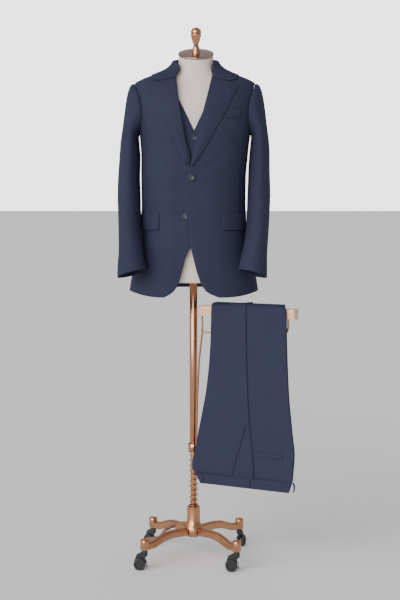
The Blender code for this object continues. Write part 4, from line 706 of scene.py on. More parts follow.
def grid_area(grid):
    """Area of a grid of points, and the lengths of its longest row and longest column."""
    a = grid[1:, 1:] - grid[:-1, :-1]
    b = grid[1:, :-1] - grid[:-1, 1:]
    area = 0.5 * np.linalg.norm(np.cross(a, b), axis=2).sum()
    width = np.linalg.norm(np.diff(grid, axis=1), axis=2).sum(axis=1).max()
    length = np.linalg.norm(np.diff(grid, axis=0), axis=2).sum(axis=0).max()
    return float(area), float(width), float(length)


def pull_in(outer, inner, gaps):
    """Moves a wall's edges in by a gap: first row, last row, first and last column."""
    moves = np.zeros_like(outer)
    edges = ((0, None, 1, None), (-1, None, -2, None), (None, 0, None, 1), (None, -1, None, -2))
    for (row, column, next_row, next_column), gap in zip(edges, gaps):
        here = (slice(None) if row is None else row, slice(None) if column is None else column)
        there = (slice(None) if next_row is None else next_row,
                 slice(None) if next_column is None else next_column)
        step = outer[there] - outer[here]
        moves[here] += gap * step / np.maximum(np.linalg.norm(step, axis=-1, keepdims=True), 1e-9)
    return outer + moves, inner + moves


def cloth_wall(name, outer, inner, material, body, node, gaps=(0, 0, 0, 0)):
    """A cloth piece from two grids; its area and sizes are worked out but not used."""
    outer, inner = pull_in(np.array(outer), np.array(inner), gaps)
    vertices, faces, uvs = shell_mesh(outer, inner)
    piece = new_piece(name, vertices, faces, material, body, (node,), uvs=uvs)
    area, width, length = grid_area(outer)
    if min(width, length) < 0.010:
        return piece
    return piece


def cloth_panel(name, skin, grid, material, body, node, gaps=(0, 0, 0, 0), thick=WALL):
    """A cloth panel from a grid of (u, v, out) on a surface."""
    outer = []
    inner = []
    for row in grid:
        outer_row = []
        inner_row = []
        for u, v, out in row:
            base = skin.point(u, v)
            normal = skin.normal(u, v)
            outer_row.append(base + out * normal)
            inner_row.append(base + (out - thick) * normal)
        outer.append(outer_row)
        inner.append(inner_row)
    return cloth_wall(name, outer, inner, material, body, node, gaps)


def turned(profile, segments, closed=False, sweep=None):
    """A turned shape about Z. A closed profile makes a ring, an open one is capped."""
    vertices = []
    rings = []
    for radius, height in profile:
        if radius < 1e-9:
            rings.append([len(vertices)])
            vertices.append((0.0, 0.0, height))
            continue
        rings.append(list(range(len(vertices), len(vertices) + segments)))
        for i in range(segments):
            turn = 2 * math.pi * (i + 0.5) / segments
            vertices.append((radius * math.cos(turn), radius * math.sin(turn), height))
    faces = []
    pairs = list(zip(rings, rings[1:]))
    if closed:
        pairs.append((rings[-1], rings[0]))
    for low, high in pairs:
        for i in range(segments):
            j = (i + 1) % segments
            if len(low) == 1:
                faces.append((low[0], high[j], high[i]))
            elif len(high) == 1:
                faces.append((low[i], low[j], high[0]))
            else:
                faces.append((low[i], low[j], high[j], high[i]))
    if not closed:
        if len(rings[0]) > 1:
            faces.append(tuple(reversed(rings[0])))
        if len(rings[-1]) > 1:
            faces.append(tuple(rings[-1]))
    return vertices, faces


def eased_profile(profile, parts=4, keep=()):
    """A profile with smooth curves through its points; a turn listed in keep stays a corner."""
    points = np.array(profile, dtype=float)
    smooth = []
    for i in range(len(points) - 1):
        before = points[max(i - 1, 0)] if i not in keep else points[i]
        after = points[min(i + 2, len(points) - 1)] if i + 1 not in keep else points[i + 1]
        for k in range(parts):
            t = k / parts
            a, b, c, d = before, points[i], points[i + 1], after
            smooth.append(0.5 * (2 * b + (c - a) * t + (2 * a - 5 * b + 4 * c - d) * t * t
                                 + (3 * b - a - 3 * c + d) * t * t * t))
    smooth.append(points[-1])
    return [(max(float(r), 0.0), float(h)) for r, h in smooth]


def moved(vertices, matrix):
    return [tuple(matrix @ Vector(v)) for v in vertices]


def joined(*parts):
    """Several (vertices, faces) as one mesh."""
    vertices = []
    faces = []
    for more, sides in parts:
        start = len(vertices)
        vertices += [tuple(v) for v in more]
        faces += [tuple(start + i for i in side) for side in sides]
    return vertices, faces


def rings_solid(rings):
    size = len(rings[0])
    vertices = [tuple(point) for ring in rings for point in ring]
    faces = []
    for r in range(len(rings) - 1):
        for i in range(size):
            j = (i + 1) % size
            faces.append((r * size + i, r * size + j, (r + 1) * size + j, (r + 1) * size + i))
    faces.append(tuple(reversed(range(size))))
    faces.append(tuple(range((len(rings) - 1) * size, len(rings) * size)))
    return vertices, faces


def rod(path, radius, sides):
    """A round rod along a path of points, its ends closed flat."""
    path = [Vector(p) for p in path]
    rings = []
    side = None
    for i, point in enumerate(path):
        ahead = path[min(i + 1, len(path) - 1)] - path[max(i - 1, 0)]
        ahead.normalize()
        if side is None:
            side = ahead.orthogonal().normalized()
        side = (side - ahead * side.dot(ahead)).normalized()
        across = ahead.cross(side)
        ring = []
        for k in range(sides):
            turn = 2 * math.pi * k / sides
            ring.append(point + radius * (math.cos(turn) * side + math.sin(turn) * across))
        rings.append(ring)
    return rings_solid(rings)


def curve_points(controls, steps):
    """Points along a smooth curve through its controls."""
    controls = [Vector(c) for c in controls]
    padded = [controls[0] * 2 - controls[1]] + controls + [controls[-1] * 2 - controls[-2]]
    points = []
    for i in range(1, len(padded) - 2):
        a, b, c, d = padded[i - 1:i + 3]
        for k in range(steps):
            t = k / steps
            points.append(0.5 * (2 * b + (c - a) * t + (2 * a - 5 * b + 4 * c - d) * t * t
                                 + (3 * b - a - 3 * c + d) * t * t * t))
    points.append(controls[-1])
    return points


def facing(place, normal):
    """A frame whose Z axis is a surface's normal."""
    normal = Vector(normal)
    side = Vector((0, 0, 1)).cross(normal).normalized()
    up = normal.cross(side)
    matrix = Matrix((side, up, normal)).transposed().to_4x4()
    matrix.translation = Vector(place)
    return matrix


# Materials

def set_inputs(node, values):
    """Fills a node's sockets by name and hands the node back."""
    for name, value in values.items():
        node.inputs[name].default_value = value
    return node


def start_material(name):
    material = bpy.data.materials.new(name)
    material.use_nodes = True
    nodes = material.node_tree.nodes
    return material, nodes, material.node_tree.links, nodes["Principled BSDF"]


def tone(colour, factor):
    return tuple(min(max(c * factor, 0.0), 1.0) for c in colour[:3]) + (1.0,)


def mixed(nodes, links, factor, low, high):
    """A colour mix of two fixed colours by a factor socket."""
    mix = nodes.new("ShaderNodeMix")
    mix.data_type = "RGBA"
    set_inputs(mix, {"A": low, "B": high})
    links.new(factor, mix.inputs["Factor"])
    return mix


def wool_cloth(name, colour, sheen=0.10):
    """Worsted twill: fine slanting ribs, mixed fibres and a soft bloom."""
    material, nodes, links, shader = start_material(name)
    place = nodes.new("ShaderNodeTexCoord")
    twill = nodes.new("ShaderNodeTexWave")
    twill.bands_direction = "DIAGONAL"
    set_inputs(twill, {"Scale": 420.0, "Distortion": 0.6, "Detail": 1.0, "Detail Scale": 2.0})
    links.new(place.outputs["UV"], twill.inputs["Vector"])
    fibre = set_inputs(nodes.new("ShaderNodeTexNoise"), {"Scale": 900.0, "Detail": 3.0})
    links.new(place.outputs["Object"], fibre.inputs["Vector"])
    cloud = set_inputs(nodes.new("ShaderNodeTexNoise"), {"Scale": 9.0, "Detail": 4.0})
    links.new(place.outputs["Object"], cloud.inputs["Vector"])
    yarn = mixed(nodes, links, twill.outputs["Fac"], tone(colour, 0.80), tone(colour, 1.12))
    melange = mixed(nodes, links, fibre.outputs["Fac"], tone(colour, 0.72), tone(colour, 1.35))
    blend = nodes.new("ShaderNodeMix")
    blend.data_type = "RGBA"
    set_inputs(blend, {"Factor": 0.45})
    links.new(yarn.outputs["Result"], blend.inputs["A"])
    links.new(melange.outputs["Result"], blend.inputs["B"])
    shade = mixed(nodes, links, cloud.outputs["Fac"], (0.86, 0.86, 0.88, 1.0), (1.10, 1.10, 1.08, 1.0))
    final = nodes.new("ShaderNodeMix")
    final.data_type = "RGBA"
    final.blend_type = "MULTIPLY"
    set_inputs(final, {"Factor": 1.0})
    links.new(blend.outputs["Result"], final.inputs["A"])
    links.new(shade.outputs["Result"], final.inputs["B"])
    links.new(final.outputs["Result"], shader.inputs["Base Color"])
    height = nodes.new("ShaderNodeMath")
    height.operation = "ADD"
    links.new(twill.outputs["Fac"], height.inputs[0])
    links.new(fibre.outputs["Fac"], height.inputs[1])
    bump = set_inputs(nodes.new("ShaderNodeBump"), {"Strength": 0.35, "Distance": 0.0004})
    links.new(height.outputs[0], bump.inputs["Height"])
    soft = set_inputs(nodes.new("ShaderNodeBump"), {"Strength": 0.25, "Distance": 0.004})
    links.new(cloud.outputs["Fac"], soft.inputs["Height"])
    links.new(bump.outputs["Normal"], soft.inputs["Normal"])
    links.new(soft.outputs["Normal"], shader.inputs["Normal"])
    set_inputs(shader, {"Roughness": 0.82, "Specular IOR Level": 0.25, "Sheen Weight": sheen,
                        "Sheen Roughness": 0.45, "Sheen Tint": tone(colour, 5.0)})
    return material


def linen_cover(name, colour):
    """Plain-woven linen over the form: two crossing thread directions and slubs."""
    material, nodes, links, shader = start_material(name)
    place = nodes.new("ShaderNodeTexCoord")
    threads = []
    for direction in ("X", "Z"):
        wave = nodes.new("ShaderNodeTexWave")
        wave.bands_direction = direction
        set_inputs(wave, {"Scale": 330.0, "Distortion": 1.2, "Detail": 2.0})
        links.new(place.outputs["Object"], wave.inputs["Vector"])
        threads.append(wave)
    weave = nodes.new("ShaderNodeMath")
    weave.operation = "MULTIPLY"
    links.new(threads[0].outputs["Fac"], weave.inputs[0])
    links.new(threads[1].outputs["Fac"], weave.inputs[1])
    slub = set_inputs(nodes.new("ShaderNodeTexNoise"), {"Scale": 60.0, "Detail": 5.0})
    links.new(place.outputs["Object"], slub.inputs["Vector"])
    cover = mixed(nodes, links, slub.outputs["Fac"], tone(colour, 0.90), tone(colour, 1.06))
    dark = mixed(nodes, links, weave.outputs[0], (0.90, 0.89, 0.87, 1.0), (1.0, 1.0, 1.0, 1.0))
    final = nodes.new("ShaderNodeMix")
    final.data_type = "RGBA"
    final.blend_type = "MULTIPLY"
    set_inputs(final, {"Factor": 1.0})
    links.new(cover.outputs["Result"], final.inputs["A"])
    links.new(dark.outputs["Result"], final.inputs["B"])
    links.new(final.outputs["Result"], shader.inputs["Base Color"])
    bump = set_inputs(nodes.new("ShaderNodeBump"), {"Strength": 0.3, "Distance": 0.0004})
    links.new(weave.outputs[0], bump.inputs["Height"])
    links.new(bump.outputs["Normal"], shader.inputs["Normal"])
    set_inputs(shader, {"Roughness": 0.88, "Specular IOR Level": 0.2, "Sheen Weight": 0.15})
    return material


def plated_metal(name, colour, low=0.16, high=0.34, brushed=30.0):
    """Copper-coloured plating with faint drawing lines and handling marks."""
    material, nodes, links, shader = start_material(name)
    place = nodes.new("ShaderNodeTexCoord")
    stretch = set_inputs(nodes.new("ShaderNodeMapping"), {"Scale": (brushed * 30, brushed * 30, brushed)})
    links.new(place.outputs["Object"], stretch.inputs["Vector"])
    lines = set_inputs(nodes.new("ShaderNodeTexNoise"), {"Scale": 1.0, "Detail": 3.0})
    links.new(stretch.outputs["Vector"], lines.inputs["Vector"])
    marks = set_inputs(nodes.new("ShaderNodeTexNoise"), {"Scale": 28.0, "Detail": 6.0})
    links.new(place.outputs["Object"], marks.inputs["Vector"])
    coat = mixed(nodes, links, marks.outputs["Fac"], tone(colour, 0.82), tone(colour, 1.12))
    links.new(coat.outputs["Result"], shader.inputs["Base Color"])
    rough = set_inputs(nodes.new("ShaderNodeMapRange"), {"To Min": low, "To Max": high})
    links.new(marks.outputs["Fac"], rough.inputs["Value"])
    links.new(rough.outputs["Result"], shader.inputs["Roughness"])
    bump = set_inputs(nodes.new("ShaderNodeBump"), {"Strength": 0.06, "Distance": 0.0003})
    links.new(lines.outputs["Fac"], bump.inputs["Height"])
    links.new(bump.outputs["Normal"], shader.inputs["Normal"])
    shader.inputs["Metallic"].default_value = 1.0
    return material


def pale_wood(name, colour):
    """Varnished pale wood with its grain along the bar."""
    material, nodes, links, shader = start_material(name)
    place = nodes.new("ShaderNodeTexCoord")
    turn = set_inputs(nodes.new("ShaderNodeMapping"), {"Rotation": (0.0, 0.0, -math.radians(BAR_TURN))})
    links.new(place.outputs["Object"], turn.inputs["Vector"])
    stretch = set_inputs(nodes.new("ShaderNodeMapping"), {"Scale": (6.0, 90.0, 90.0)})
    links.new(turn.outputs["Vector"], stretch.inputs["Vector"])
    grain = set_inputs(nodes.new("ShaderNodeTexNoise"), {"Scale": 1.6, "Detail": 8.0, "Distortion": 0.6})
    links.new(stretch.outputs["Vector"], grain.inputs["Vector"])
    pores = set_inputs(nodes.new("ShaderNodeTexNoise"), {"Scale": 9.0, "Detail": 4.0})
    links.new(stretch.outputs["Vector"], pores.inputs["Vector"])
    wood = mixed(nodes, links, grain.outputs["Fac"], tone(colour, 0.80), tone(colour, 1.10))
    links.new(wood.outputs["Result"], shader.inputs["Base Color"])
    bump = set_inputs(nodes.new("ShaderNodeBump"), {"Strength": 0.15, "Distance": 0.0004})
    links.new(pores.outputs["Fac"], bump.inputs["Height"])
    links.new(bump.outputs["Normal"], shader.inputs["Normal"])
    set_inputs(shader, {"Roughness": 0.45, "Coat Weight": 0.25})
    return material


def moulded_plastic(name, colour, roughness=0.42):
    """Moulded plastic with a fine spark-eroded grain."""
    material, nodes, links, shader = start_material(name)
    place = nodes.new("ShaderNodeTexCoord")
    grain = set_inputs(nodes.new("ShaderNodeTexNoise"), {"Scale": 1400.0, "Detail": 2.0})
    links.new(place.outputs["Object"], grain.inputs["Vector"])
    dust = set_inputs(nodes.new("ShaderNodeTexNoise"), {"Scale": 45.0, "Detail": 5.0})
    links.new(place.outputs["Object"], dust.inputs["Vector"])
    body = mixed(nodes, links, dust.outputs["Fac"], tone(colour, 0.8), tone(colour, 1.6))
    links.new(body.outputs["Result"], shader.inputs["Base Color"])
    bump = set_inputs(nodes.new("ShaderNodeBump"), {"Strength": 0.12, "Distance": 0.0002})
    links.new(grain.outputs["Fac"], bump.inputs["Height"])
    links.new(bump.outputs["Normal"], shader.inputs["Normal"])
    shader.inputs["Roughness"].default_value = roughness
    return material


def studio_floor(name, colour):
    """Matte seamless floor with a barely visible mottle."""
    material, nodes, links, shader = start_material(name)
    place = nodes.new("ShaderNodeTexCoord")
    mottle = set_inputs(nodes.new("ShaderNodeTexNoise"), {"Scale": 3.0, "Detail": 3.0})
    links.new(place.outputs["Object"], mottle.inputs["Vector"])
    shade = mixed(nodes, links, mottle.outputs["Fac"], tone(colour, 0.99), tone(colour, 1.01))
    links.new(shade.outputs["Result"], shader.inputs["Base Color"])
    set_inputs(shader, {"Roughness": 0.9, "Specular IOR Level": 0.1})
    return material


MATERIALS = {}


def finish(name):
    """The suit's materials, each made once from the colours in the panel."""
    if name in MATERIALS:
        return MATERIALS[name]
    colours = bpy.context.scene.suit_colours
    makers = {
        "wool": lambda: wool_cloth("wool", colours.wool),
        # painted shade: a darker copy of the suiting, for cloth that lies in shade under or between other
        # cloth
        "wool_painted_shade": lambda: wool_cloth("wool_painted_shade", tone(colours.wool, 0.62), 0.05),
        "linen": lambda: linen_cover("linen", colours.linen),
        "copper": lambda: plated_metal("copper_plate", colours.copper),
        "cap": lambda: plated_metal("cap_polish", colours.cap, 0.05, 0.12, 8.0),
        "wood": lambda: pale_wood("pale_wood", colours.wood),
        "plastic": lambda: moulded_plastic("castor_plastic", colours.plastic),
        "button": lambda: moulded_plastic("button_horn", colours.button, 0.3),
        "thread": lambda: moulded_plastic("button_thread", tone(colours.wool, 1.3), 0.8),
        "floor": lambda: studio_floor("studio_floor", colours.floor),
    }
    MATERIALS[name] = makers[name]()
    return MATERIALS[name]


# Settings

class SuitClothSettings(PropertyGroup):
    crease_depth: FloatProperty(name="Crease depth",
                                description="Strength of the soft folds, 1 for their natural depth",
                                default=1.0, min=0.0, max=2.0)
    fineness: IntProperty(name="Fineness", description="Cloth mesh rows between two table rows",
                          default=4, min=1, max=8)
    sleeve_rope: FloatProperty(name="Sleeve head roll",
                               description="How far the sleeve head stands over its seam",
                               default=0.0014, unit="LENGTH", min=0.0, max=0.004)


class SuitColourSettings(PropertyGroup):
    wool: FloatVectorProperty(name="Wool", description="Suiting colour", subtype="COLOR",
                              default=(0.022, 0.024, 0.052), min=0.0, max=1.0)
    linen: FloatVectorProperty(name="Linen", description="Cover of the dress form", subtype="COLOR",
                               default=(0.800, 0.700, 0.640), min=0.0, max=1.0)
    copper: FloatVectorProperty(name="Copper", description="Plating of the stand", subtype="COLOR",
                                default=(0.520, 0.255, 0.140), min=0.0, max=1.0)
    cap: FloatVectorProperty(name="Neck cap", description="Polished disc on the neck", subtype="COLOR",
                             default=(0.480, 0.300, 0.260), min=0.0, max=1.0)
    wood: FloatVectorProperty(name="Wood", description="Trouser bar", subtype="COLOR",
                              default=(0.820, 0.500, 0.300), min=0.0, max=1.0)
    plastic: FloatVectorProperty(name="Plastic", description="Castors and brakes", subtype="COLOR",
                                 default=(0.014, 0.013, 0.014), min=0.0, max=1.0)
    button: FloatVectorProperty(name="Buttons", description="Buttons of jacket and waistcoat",
                                subtype="COLOR", default=(0.016, 0.018, 0.032), min=0.0, max=1.0)
    floor: FloatVectorProperty(name="Floor", description="Studio floor", subtype="COLOR",
                               default=(0.990, 0.990, 0.990), min=0.0, max=1.0)


class SuitStudioSettings(PropertyGroup):
    distance: FloatProperty(name="Camera distance", description="From the pole to the camera",
                            default=4.3, unit="LENGTH", min=1.0, max=20.0)
    height: FloatProperty(name="Camera height", description="Above the floor", default=1.184,
                          unit="LENGTH", min=0.1, max=5.0)
    pitch: FloatProperty(name="Camera pitch", description="Downward tilt", default=math.radians(2.1),
                         subtype="ANGLE", min=-1.5, max=1.5)
    side: FloatProperty(name="Camera side", description="Camera's place across from the pole",
                        default=0.0215, unit="LENGTH", min=-2.0, max=2.0)
    lens: FloatProperty(name="Lens", description="Focal length in millimetres",
                        default=78.5, min=10.0, max=300.0)
    rise: FloatProperty(name="Camera shift", description="Upright shift of the lens, a share of its frame",
                        default=-0.0853, min=-0.5, max=0.5)
    key: FloatProperty(name="Key light", description="Strength of the soft light from the left front",
                       default=3.9, min=0.0, max=50.0)
    fill: FloatProperty(name="Fill light", description="Strength of the soft light from the left",
                        default=0.7, min=0.0, max=50.0)
    surround: FloatProperty(name="Surround", description="Strength of the white surroundings",
                            default=0.45, min=0.0, max=5.0)
    backdrop: FloatProperty(name="Backdrop", description="Brightness of the backdrop behind the floor",
                            default=3.00, min=0.0, max=5.0)


# Jacket

def front_rows(parts):
    rows = [(z, 90.0 - ARM_ANGLE) for z in spread(HEM, ARM_MIDDLE, 15 * parts)]
    for theta in spread(90.0, 0.0, 4 * parts)[1:]:
        angle, z = arm_hole(theta)
        rows.append((z, angle))
    top = ARM_MIDDLE + ARM_HEIGHT
    return rows + [(z, ARM_SIDE) for z in spread(top, NECK_TOP, 3 * parts)[1:]]


def back_rows(parts):
    rows = [(z, 90.0 + ARM_ANGLE) for z in spread(HEM, ARM_MIDDLE, 15 * parts)]
    for theta in spread(270.0, 360.0, 4 * parts)[1:]:
        angle, z = arm_hole(theta)
        rows.append((z, angle))
    top = ARM_MIDDLE + ARM_HEIGHT
    return rows + [(z, ARM_SIDE) for z in spread(top, NECK_TOP, 3 * parts)[1:]]


def body_fold(x, y, z, depth):
    """Soft folds of the jacket's body, faded out toward the sides, where front and back meet."""
    creases = FRONT_CREASES if y < 0.0 else BACK_CREASES
    fade = ease(abs(y) / 0.05)
    return depth * fade * crease_height(creases, x, z)


def jacket_front(side, depth, parts):
    grid = []
    for z, outer_angle in front_rows(parts):
        start = JACKET.angle(JACKET_FRONT_EDGE.at(side, z), z)
        end = SIDES[side] * outer_angle
        row = []
        for step in [s ** 1.15 for s in spread(0.0, 1.0, 6 * parts)]:
            angle = start + (end - start) * step
            height = hem_shape(angle, z)
            x, y = JACKET.point(angle, height)[:2]
            out = front_out(side, x, z) + body_fold(x, y, height, depth) * ease(step / 0.15)
            row.append((angle, height, out))
        grid.append(row)
    edge = CLOTH_SEAM
    return cloth_panel("jacket_front_" + side + "_cloth", JACKET, grid, finish("wool"), "upper",
                       "jacket_front_" + side, (0.0004, edge, 0.0007, edge))


def jacket_side(side, depth, parts):
    tops = [arm_hole(theta) for theta in spread(90.0, 270.0, 6 * parts)]
    grid = []
    for z in spread(HEM, ARM_MIDDLE, 15 * parts):
        row = []
        for angle, top in tops:
            height = hem_shape(angle, z)
            if z > SIDE_BLEND:
                height = SIDE_BLEND + (z - SIDE_BLEND) * (top - SIDE_BLEND) / (ARM_MIDDLE - SIDE_BLEND)
            x, y = JACKET.point(SIDES[side] * angle, height)[:2]
            row.append((SIDES[side] * angle, height, body_fold(x, y, height, depth)))
        grid.append(row)
    edge = CLOTH_SEAM
    return cloth_panel("jacket_side_" + side + "_cloth", JACKET, grid, finish("wool"), "upper",
                       "jacket_side_" + side, (0.0004, edge, edge, edge))


def jacket_back(side, depth, parts):
    grid = []
    for z, start in back_rows(parts):
        row = []
        for step in spread(0.0, 1.0, 5 * parts):
            angle = start + (180.0 - start) * step
            height = hem_shape(angle, z)
            x, y = JACKET.point(SIDES[side] * angle, height)[:2]
            row.append((SIDES[side] * angle, height, body_fold(x, y, height, depth)))
        grid.append(row)
    edge = CLOTH_SEAM
    return cloth_panel("jacket_back_" + side + "_cloth", JACKET, grid, finish("wool"), "upper",
                       "jacket_back_" + side, (0.0004, edge, edge, edge))


class SUIT_OT_jacket_body(Operator):
    """Adds the jacket's fronts, side bodies and backs as creased cloth"""

    bl_idname = "suit.jacket_body"
    bl_label = "Jacket body"

    def execute(self, context):
        cloth = context.scene.suit_cloth
        for side in SIDES:
            jacket_front(side, cloth.crease_depth, cloth.fineness)
            jacket_side(side, cloth.crease_depth, cloth.fineness)
            jacket_back(side, cloth.crease_depth, cloth.fineness)
        return {"FINISHED"}


class SUIT_OT_sleeves(Operator):
    """Adds both sleeves, each a top and an under sleeve with folds at the elbow"""

    bl_idname = "suit.sleeves"
    bl_label = "Sleeves"

    def execute(self, context):
        cloth = context.scene.suit_cloth
        parts = cloth.fineness
        rows = spread(0.0, 1.0, 5 * parts) + spread(1.0, 2.0, 10 * parts)[1:]
        for side in SIDES:
            sleeve = Sleeve(side)
            top = spread(-90.0, float(SLEEVE_FRONT_SEAM), 9 * parts)
            under = spread(float(SLEEVE_FRONT_SEAM), 270.0, 6 * parts)
            for piece, angles in (("top_sleeve_", top), ("under_sleeve_", under)):
                grid = []
                for v in reversed(rows):
                    row = []
                    for theta in reversed(angles):
                        turn = theta if theta < 200.0 else theta - 360.0
                        out = crease_height(SLEEVE_CREASES, turn, max(v - 1.0, v / 10 - 0.1), 100.0)
                        out *= cloth.crease_depth * ease((v - 0.6) / 0.6)
                        roll = math.cos(math.radians(theta)) if abs(theta) < 90 else 0.0
                        out += cloth.sleeve_rope * roll * ease(v / 0.12) * (1 - ease((v - 0.2) / 0.5))
                        row.append((theta, v, out))
                    grid.append(row)
                edge = CLOTH_SEAM
                cloth_panel(piece + side + "_cloth", sleeve, grid, finish("wool"), "upper", piece + side,
                            (edge, 0.0004, edge, edge))
        return {"FINISHED"}


# Lapels and collar

def lapel(side, parts):
    sign = SIDES[side]
    first = 1.306 if side == "right" else 1.296
    heights = spread(first, 1.5785, 8 * parts)
    steps = [s ** 0.9 for s in spread(0.0, 1.0, 6 * parts)][1:]
    low, high = LAPEL_EDGE[1][0] + 0.001, LAPEL_EDGE[-1][0]
    outer = []
    inner = []
    for z in heights:
        share = (z - first) / (heights[-1] - first)
        z_edge = low + (high - low) * share
        x_fold = JACKET_FRONT_EDGE.at(side, z)
        x_edge = LAPEL_OUTER_EDGE.at(side, z_edge)
        angle = JACKET.angle(x_fold, z)
        base = JACKET.point(angle, z) + front_out(side, x_fold, z) * JACKET.normal(angle, z)
        normal = JACKET.normal(angle, z)
        ahead = JACKET.point(angle + sign, z) - JACKET.point(angle, z)
        ahead /= np.linalg.norm(ahead)
        outer_row = []
        inner_row = []
        for turn in (-60.0, -25.0, 10.0, 45.0, 75.0):
            up, out = math.sin(math.radians(turn)), math.cos(math.radians(turn))
            outer_row.append(base + 0.0003 * normal + 0.0023 * (up * normal - out * ahead))
            inner_row.append(base + 0.0001 * normal + 0.0005 * (up * normal - out * ahead))
        for step in steps:
            x = x_fold + (x_edge - x_fold) * step
            height = z + (z_edge - z) * step
            peak = step / NOTCH_PLACE if step < NOTCH_PLACE else (1 - step) / (1 - NOTCH_PLACE)
            height += NOTCH_RISE * ease((share - 0.7) / 0.3) * peak
            angle = JACKET.angle(x, height)
            normal = JACKET.normal(angle, height)
            base = JACKET.point(angle, height) + front_out(side, x, height) * normal
            roll = 0.0030 * math.sin(math.pi * step) * (1 - share) + 0.0014 * math.sin(math.pi * step)
            roll += 0.0012 * math.exp(-(step / 0.08) ** 2)
            outer_row.append(base + (ON_TOP + roll) * normal)
            inner_row.append(base + (ON_TOP + roll - WALL) * normal)
        outer.append(outer_row)
        inner.append(inner_row)
    return cloth_wall("lapel_" + side + "_cloth", outer, inner, finish("wool"), "upper", "lapel_" + side,
                      (0, 0.0003, 0, 0.0003))


def collar_point(stations, sign, along, share):
    """Angle and height on the collar's fall, share 0 at its outer edge and 1 at its fold."""
    places = []
    for column in ("angle", "z"):
        for spot in (along, 0.0):
            edge = stations.at("edge_" + column, spot)
            places.append(edge + (stations.at("fold_" + column, spot) - edge) * share)
    angle, first_angle, z, first_z = places
    shares, right, left, heights = zip(*COLLAR_ENDS)
    end_z = float(np.interp(share, shares, heights))
    end_x = float(np.interp(share, shares, left if sign > 0 else right))
    fade = 1 - ease(along / COLLAR_END_FADE)
    angle += (sign * JACKET.angle(end_x, end_z) - first_angle) * fade
    return angle, z + (end_z - first_z) * fade


def collar_row(stations, sign, along):
    outer = []
    inner = []
    shares = (0.0, 0.12, 0.25, 0.35, 0.45, 0.58, 0.70, 0.80, 0.88, 0.95)
    for share in shares:
        angle, z = collar_point(stations, sign, along, share)
        normal = JACKET.normal(sign * angle, z)
        base = JACKET.point(sign * angle, z)
        roll = 0.0012 * math.sin(math.pi * share) + 0.0010 * share
        outer.append(base + (COLLAR_GAP + roll) * normal)
        inner.append(base + (COLLAR_GAP + roll - WALL) * normal)
    angle, z = collar_point(stations, sign, along, 1.0)
    base = JACKET.point(sign * angle, z)
    normal = JACKET.normal(sign * angle, z)
    toward = base - JACKET.point(sign * collar_point(stations, sign, along, 0.88)[0],
                                 collar_point(stations, sign, along, 0.88)[1])
    toward /= np.linalg.norm(toward)
    for turn in (60.0, 25.0, -10.0, -45.0, -75.0):
        up, out = math.sin(math.radians(turn)), math.cos(math.radians(turn))
        outer.append(base + 0.0004 * normal + 0.0028 * (up * normal + out * toward))
        inner.append(base + 0.0004 * normal + 0.0009 * (up * normal + out * toward))
    back = ease((along - 0.14) / 0.14)
    low = z - 0.003 + (min(STAND_FOOT, z - 0.003) - z + 0.003) * back
    foot = JACKET.point(sign * angle, low)
    inward = JACKET.normal(sign * angle, low)
    for share in (0.5, 1.0):
        spot = base + (foot - base) * share
        outer.append(spot - 0.0030 * inward)
        inner.append(spot - 0.0011 * inward)
    return outer, inner


class SUIT_OT_lapels_and_collar(Operator):
    """Adds the rolled lapels and the collar that folds round the back of the neck"""

    bl_idname = "suit.lapels_and_collar"
    bl_label = "Lapels and collar"

    def execute(self, context):
        parts = context.scene.suit_cloth.fineness
        for side in SIDES:
            lapel(side, parts)
        stations = Table(COLLAR_COLUMNS, COLLAR_STATIONS)
        places = spread(0.0, 0.4, 9 * parts) + spread(0.4, 1.0, 8 * parts)[1:]
        line = [(-1.0, along) for along in places] + [(1.0, along) for along in places[-2::-1]]
        rows = [collar_row(stations, sign, along) for sign, along in line]
        cloth_wall("collar_cloth", [r[0] for r in rows], [r[1] for r in rows], finish("wool"), "upper",
                   "collar", (0.0003, 0.0003, 0.0003, 0))
        return {"FINISHED"}


# Pockets and buttons

class SUIT_OT_pockets(Operator):
    """Adds the flaps of the side pockets and the welt of the breast pocket"""

    bl_idname = "suit.pockets"
    bl_label = "Flaps and breast welt"

    def execute(self, context):
        parts = context.scene.suit_cloth.fineness
        for side in SIDES:
            start, end = FLAP_ANGLES[side]
            corners = ((FLAP_BOTTOM, 1.6), (FLAP_BOTTOM + 0.0015, 0.9), (FLAP_BOTTOM + 0.004, 0.45),
                       (FLAP_BOTTOM + 0.008, 0.15), (FLAP_BOTTOM + 0.014, 0.0))
            rows = list(corners) + [(z, 0.0) for z in spread(FLAP_BOTTOM + 0.014, FLAP_TOP, 2 * parts)[1:]]
            grid = []
            for z, corner in rows:
                row = []
                for step in spread(0.0, 1.0, 7 * parts):
                    place = SIDES[side] * (start + corner + (end - start - 2 * corner) * step)
                    x = JACKET.point(place, z)[0]
                    lift = FLAP_LIFT + 0.0016 * (FLAP_TOP - z) / (FLAP_TOP - FLAP_BOTTOM)
                    row.append((place, z, front_out(side, x, z) + ON_TOP + lift))
                grid.append(row)
            cloth_panel("flap_" + side + "_cloth", JACKET, grid, finish("wool"), "upper", "flap_" + side)
        grid = []
        for lift in spread(0.0, 1.0, 2 * parts):
            row = []
            for step in spread(0.0, 1.0, 4 * parts):
                x = WELT_X[0] + (WELT_X[1] - WELT_X[0]) * step
                z = WELT_Z + (lift - 0.5) * WELT_HEIGHT + WELT_RISE * step
                row.append((JACKET.angle(x, z), z, ON_TOP + 0.0004))
            grid.append(row)
        cloth_panel("breast_welt_cloth", JACKET, grid, finish("wool"), "upper", "breast_welt")
        return {"FINISHED"}


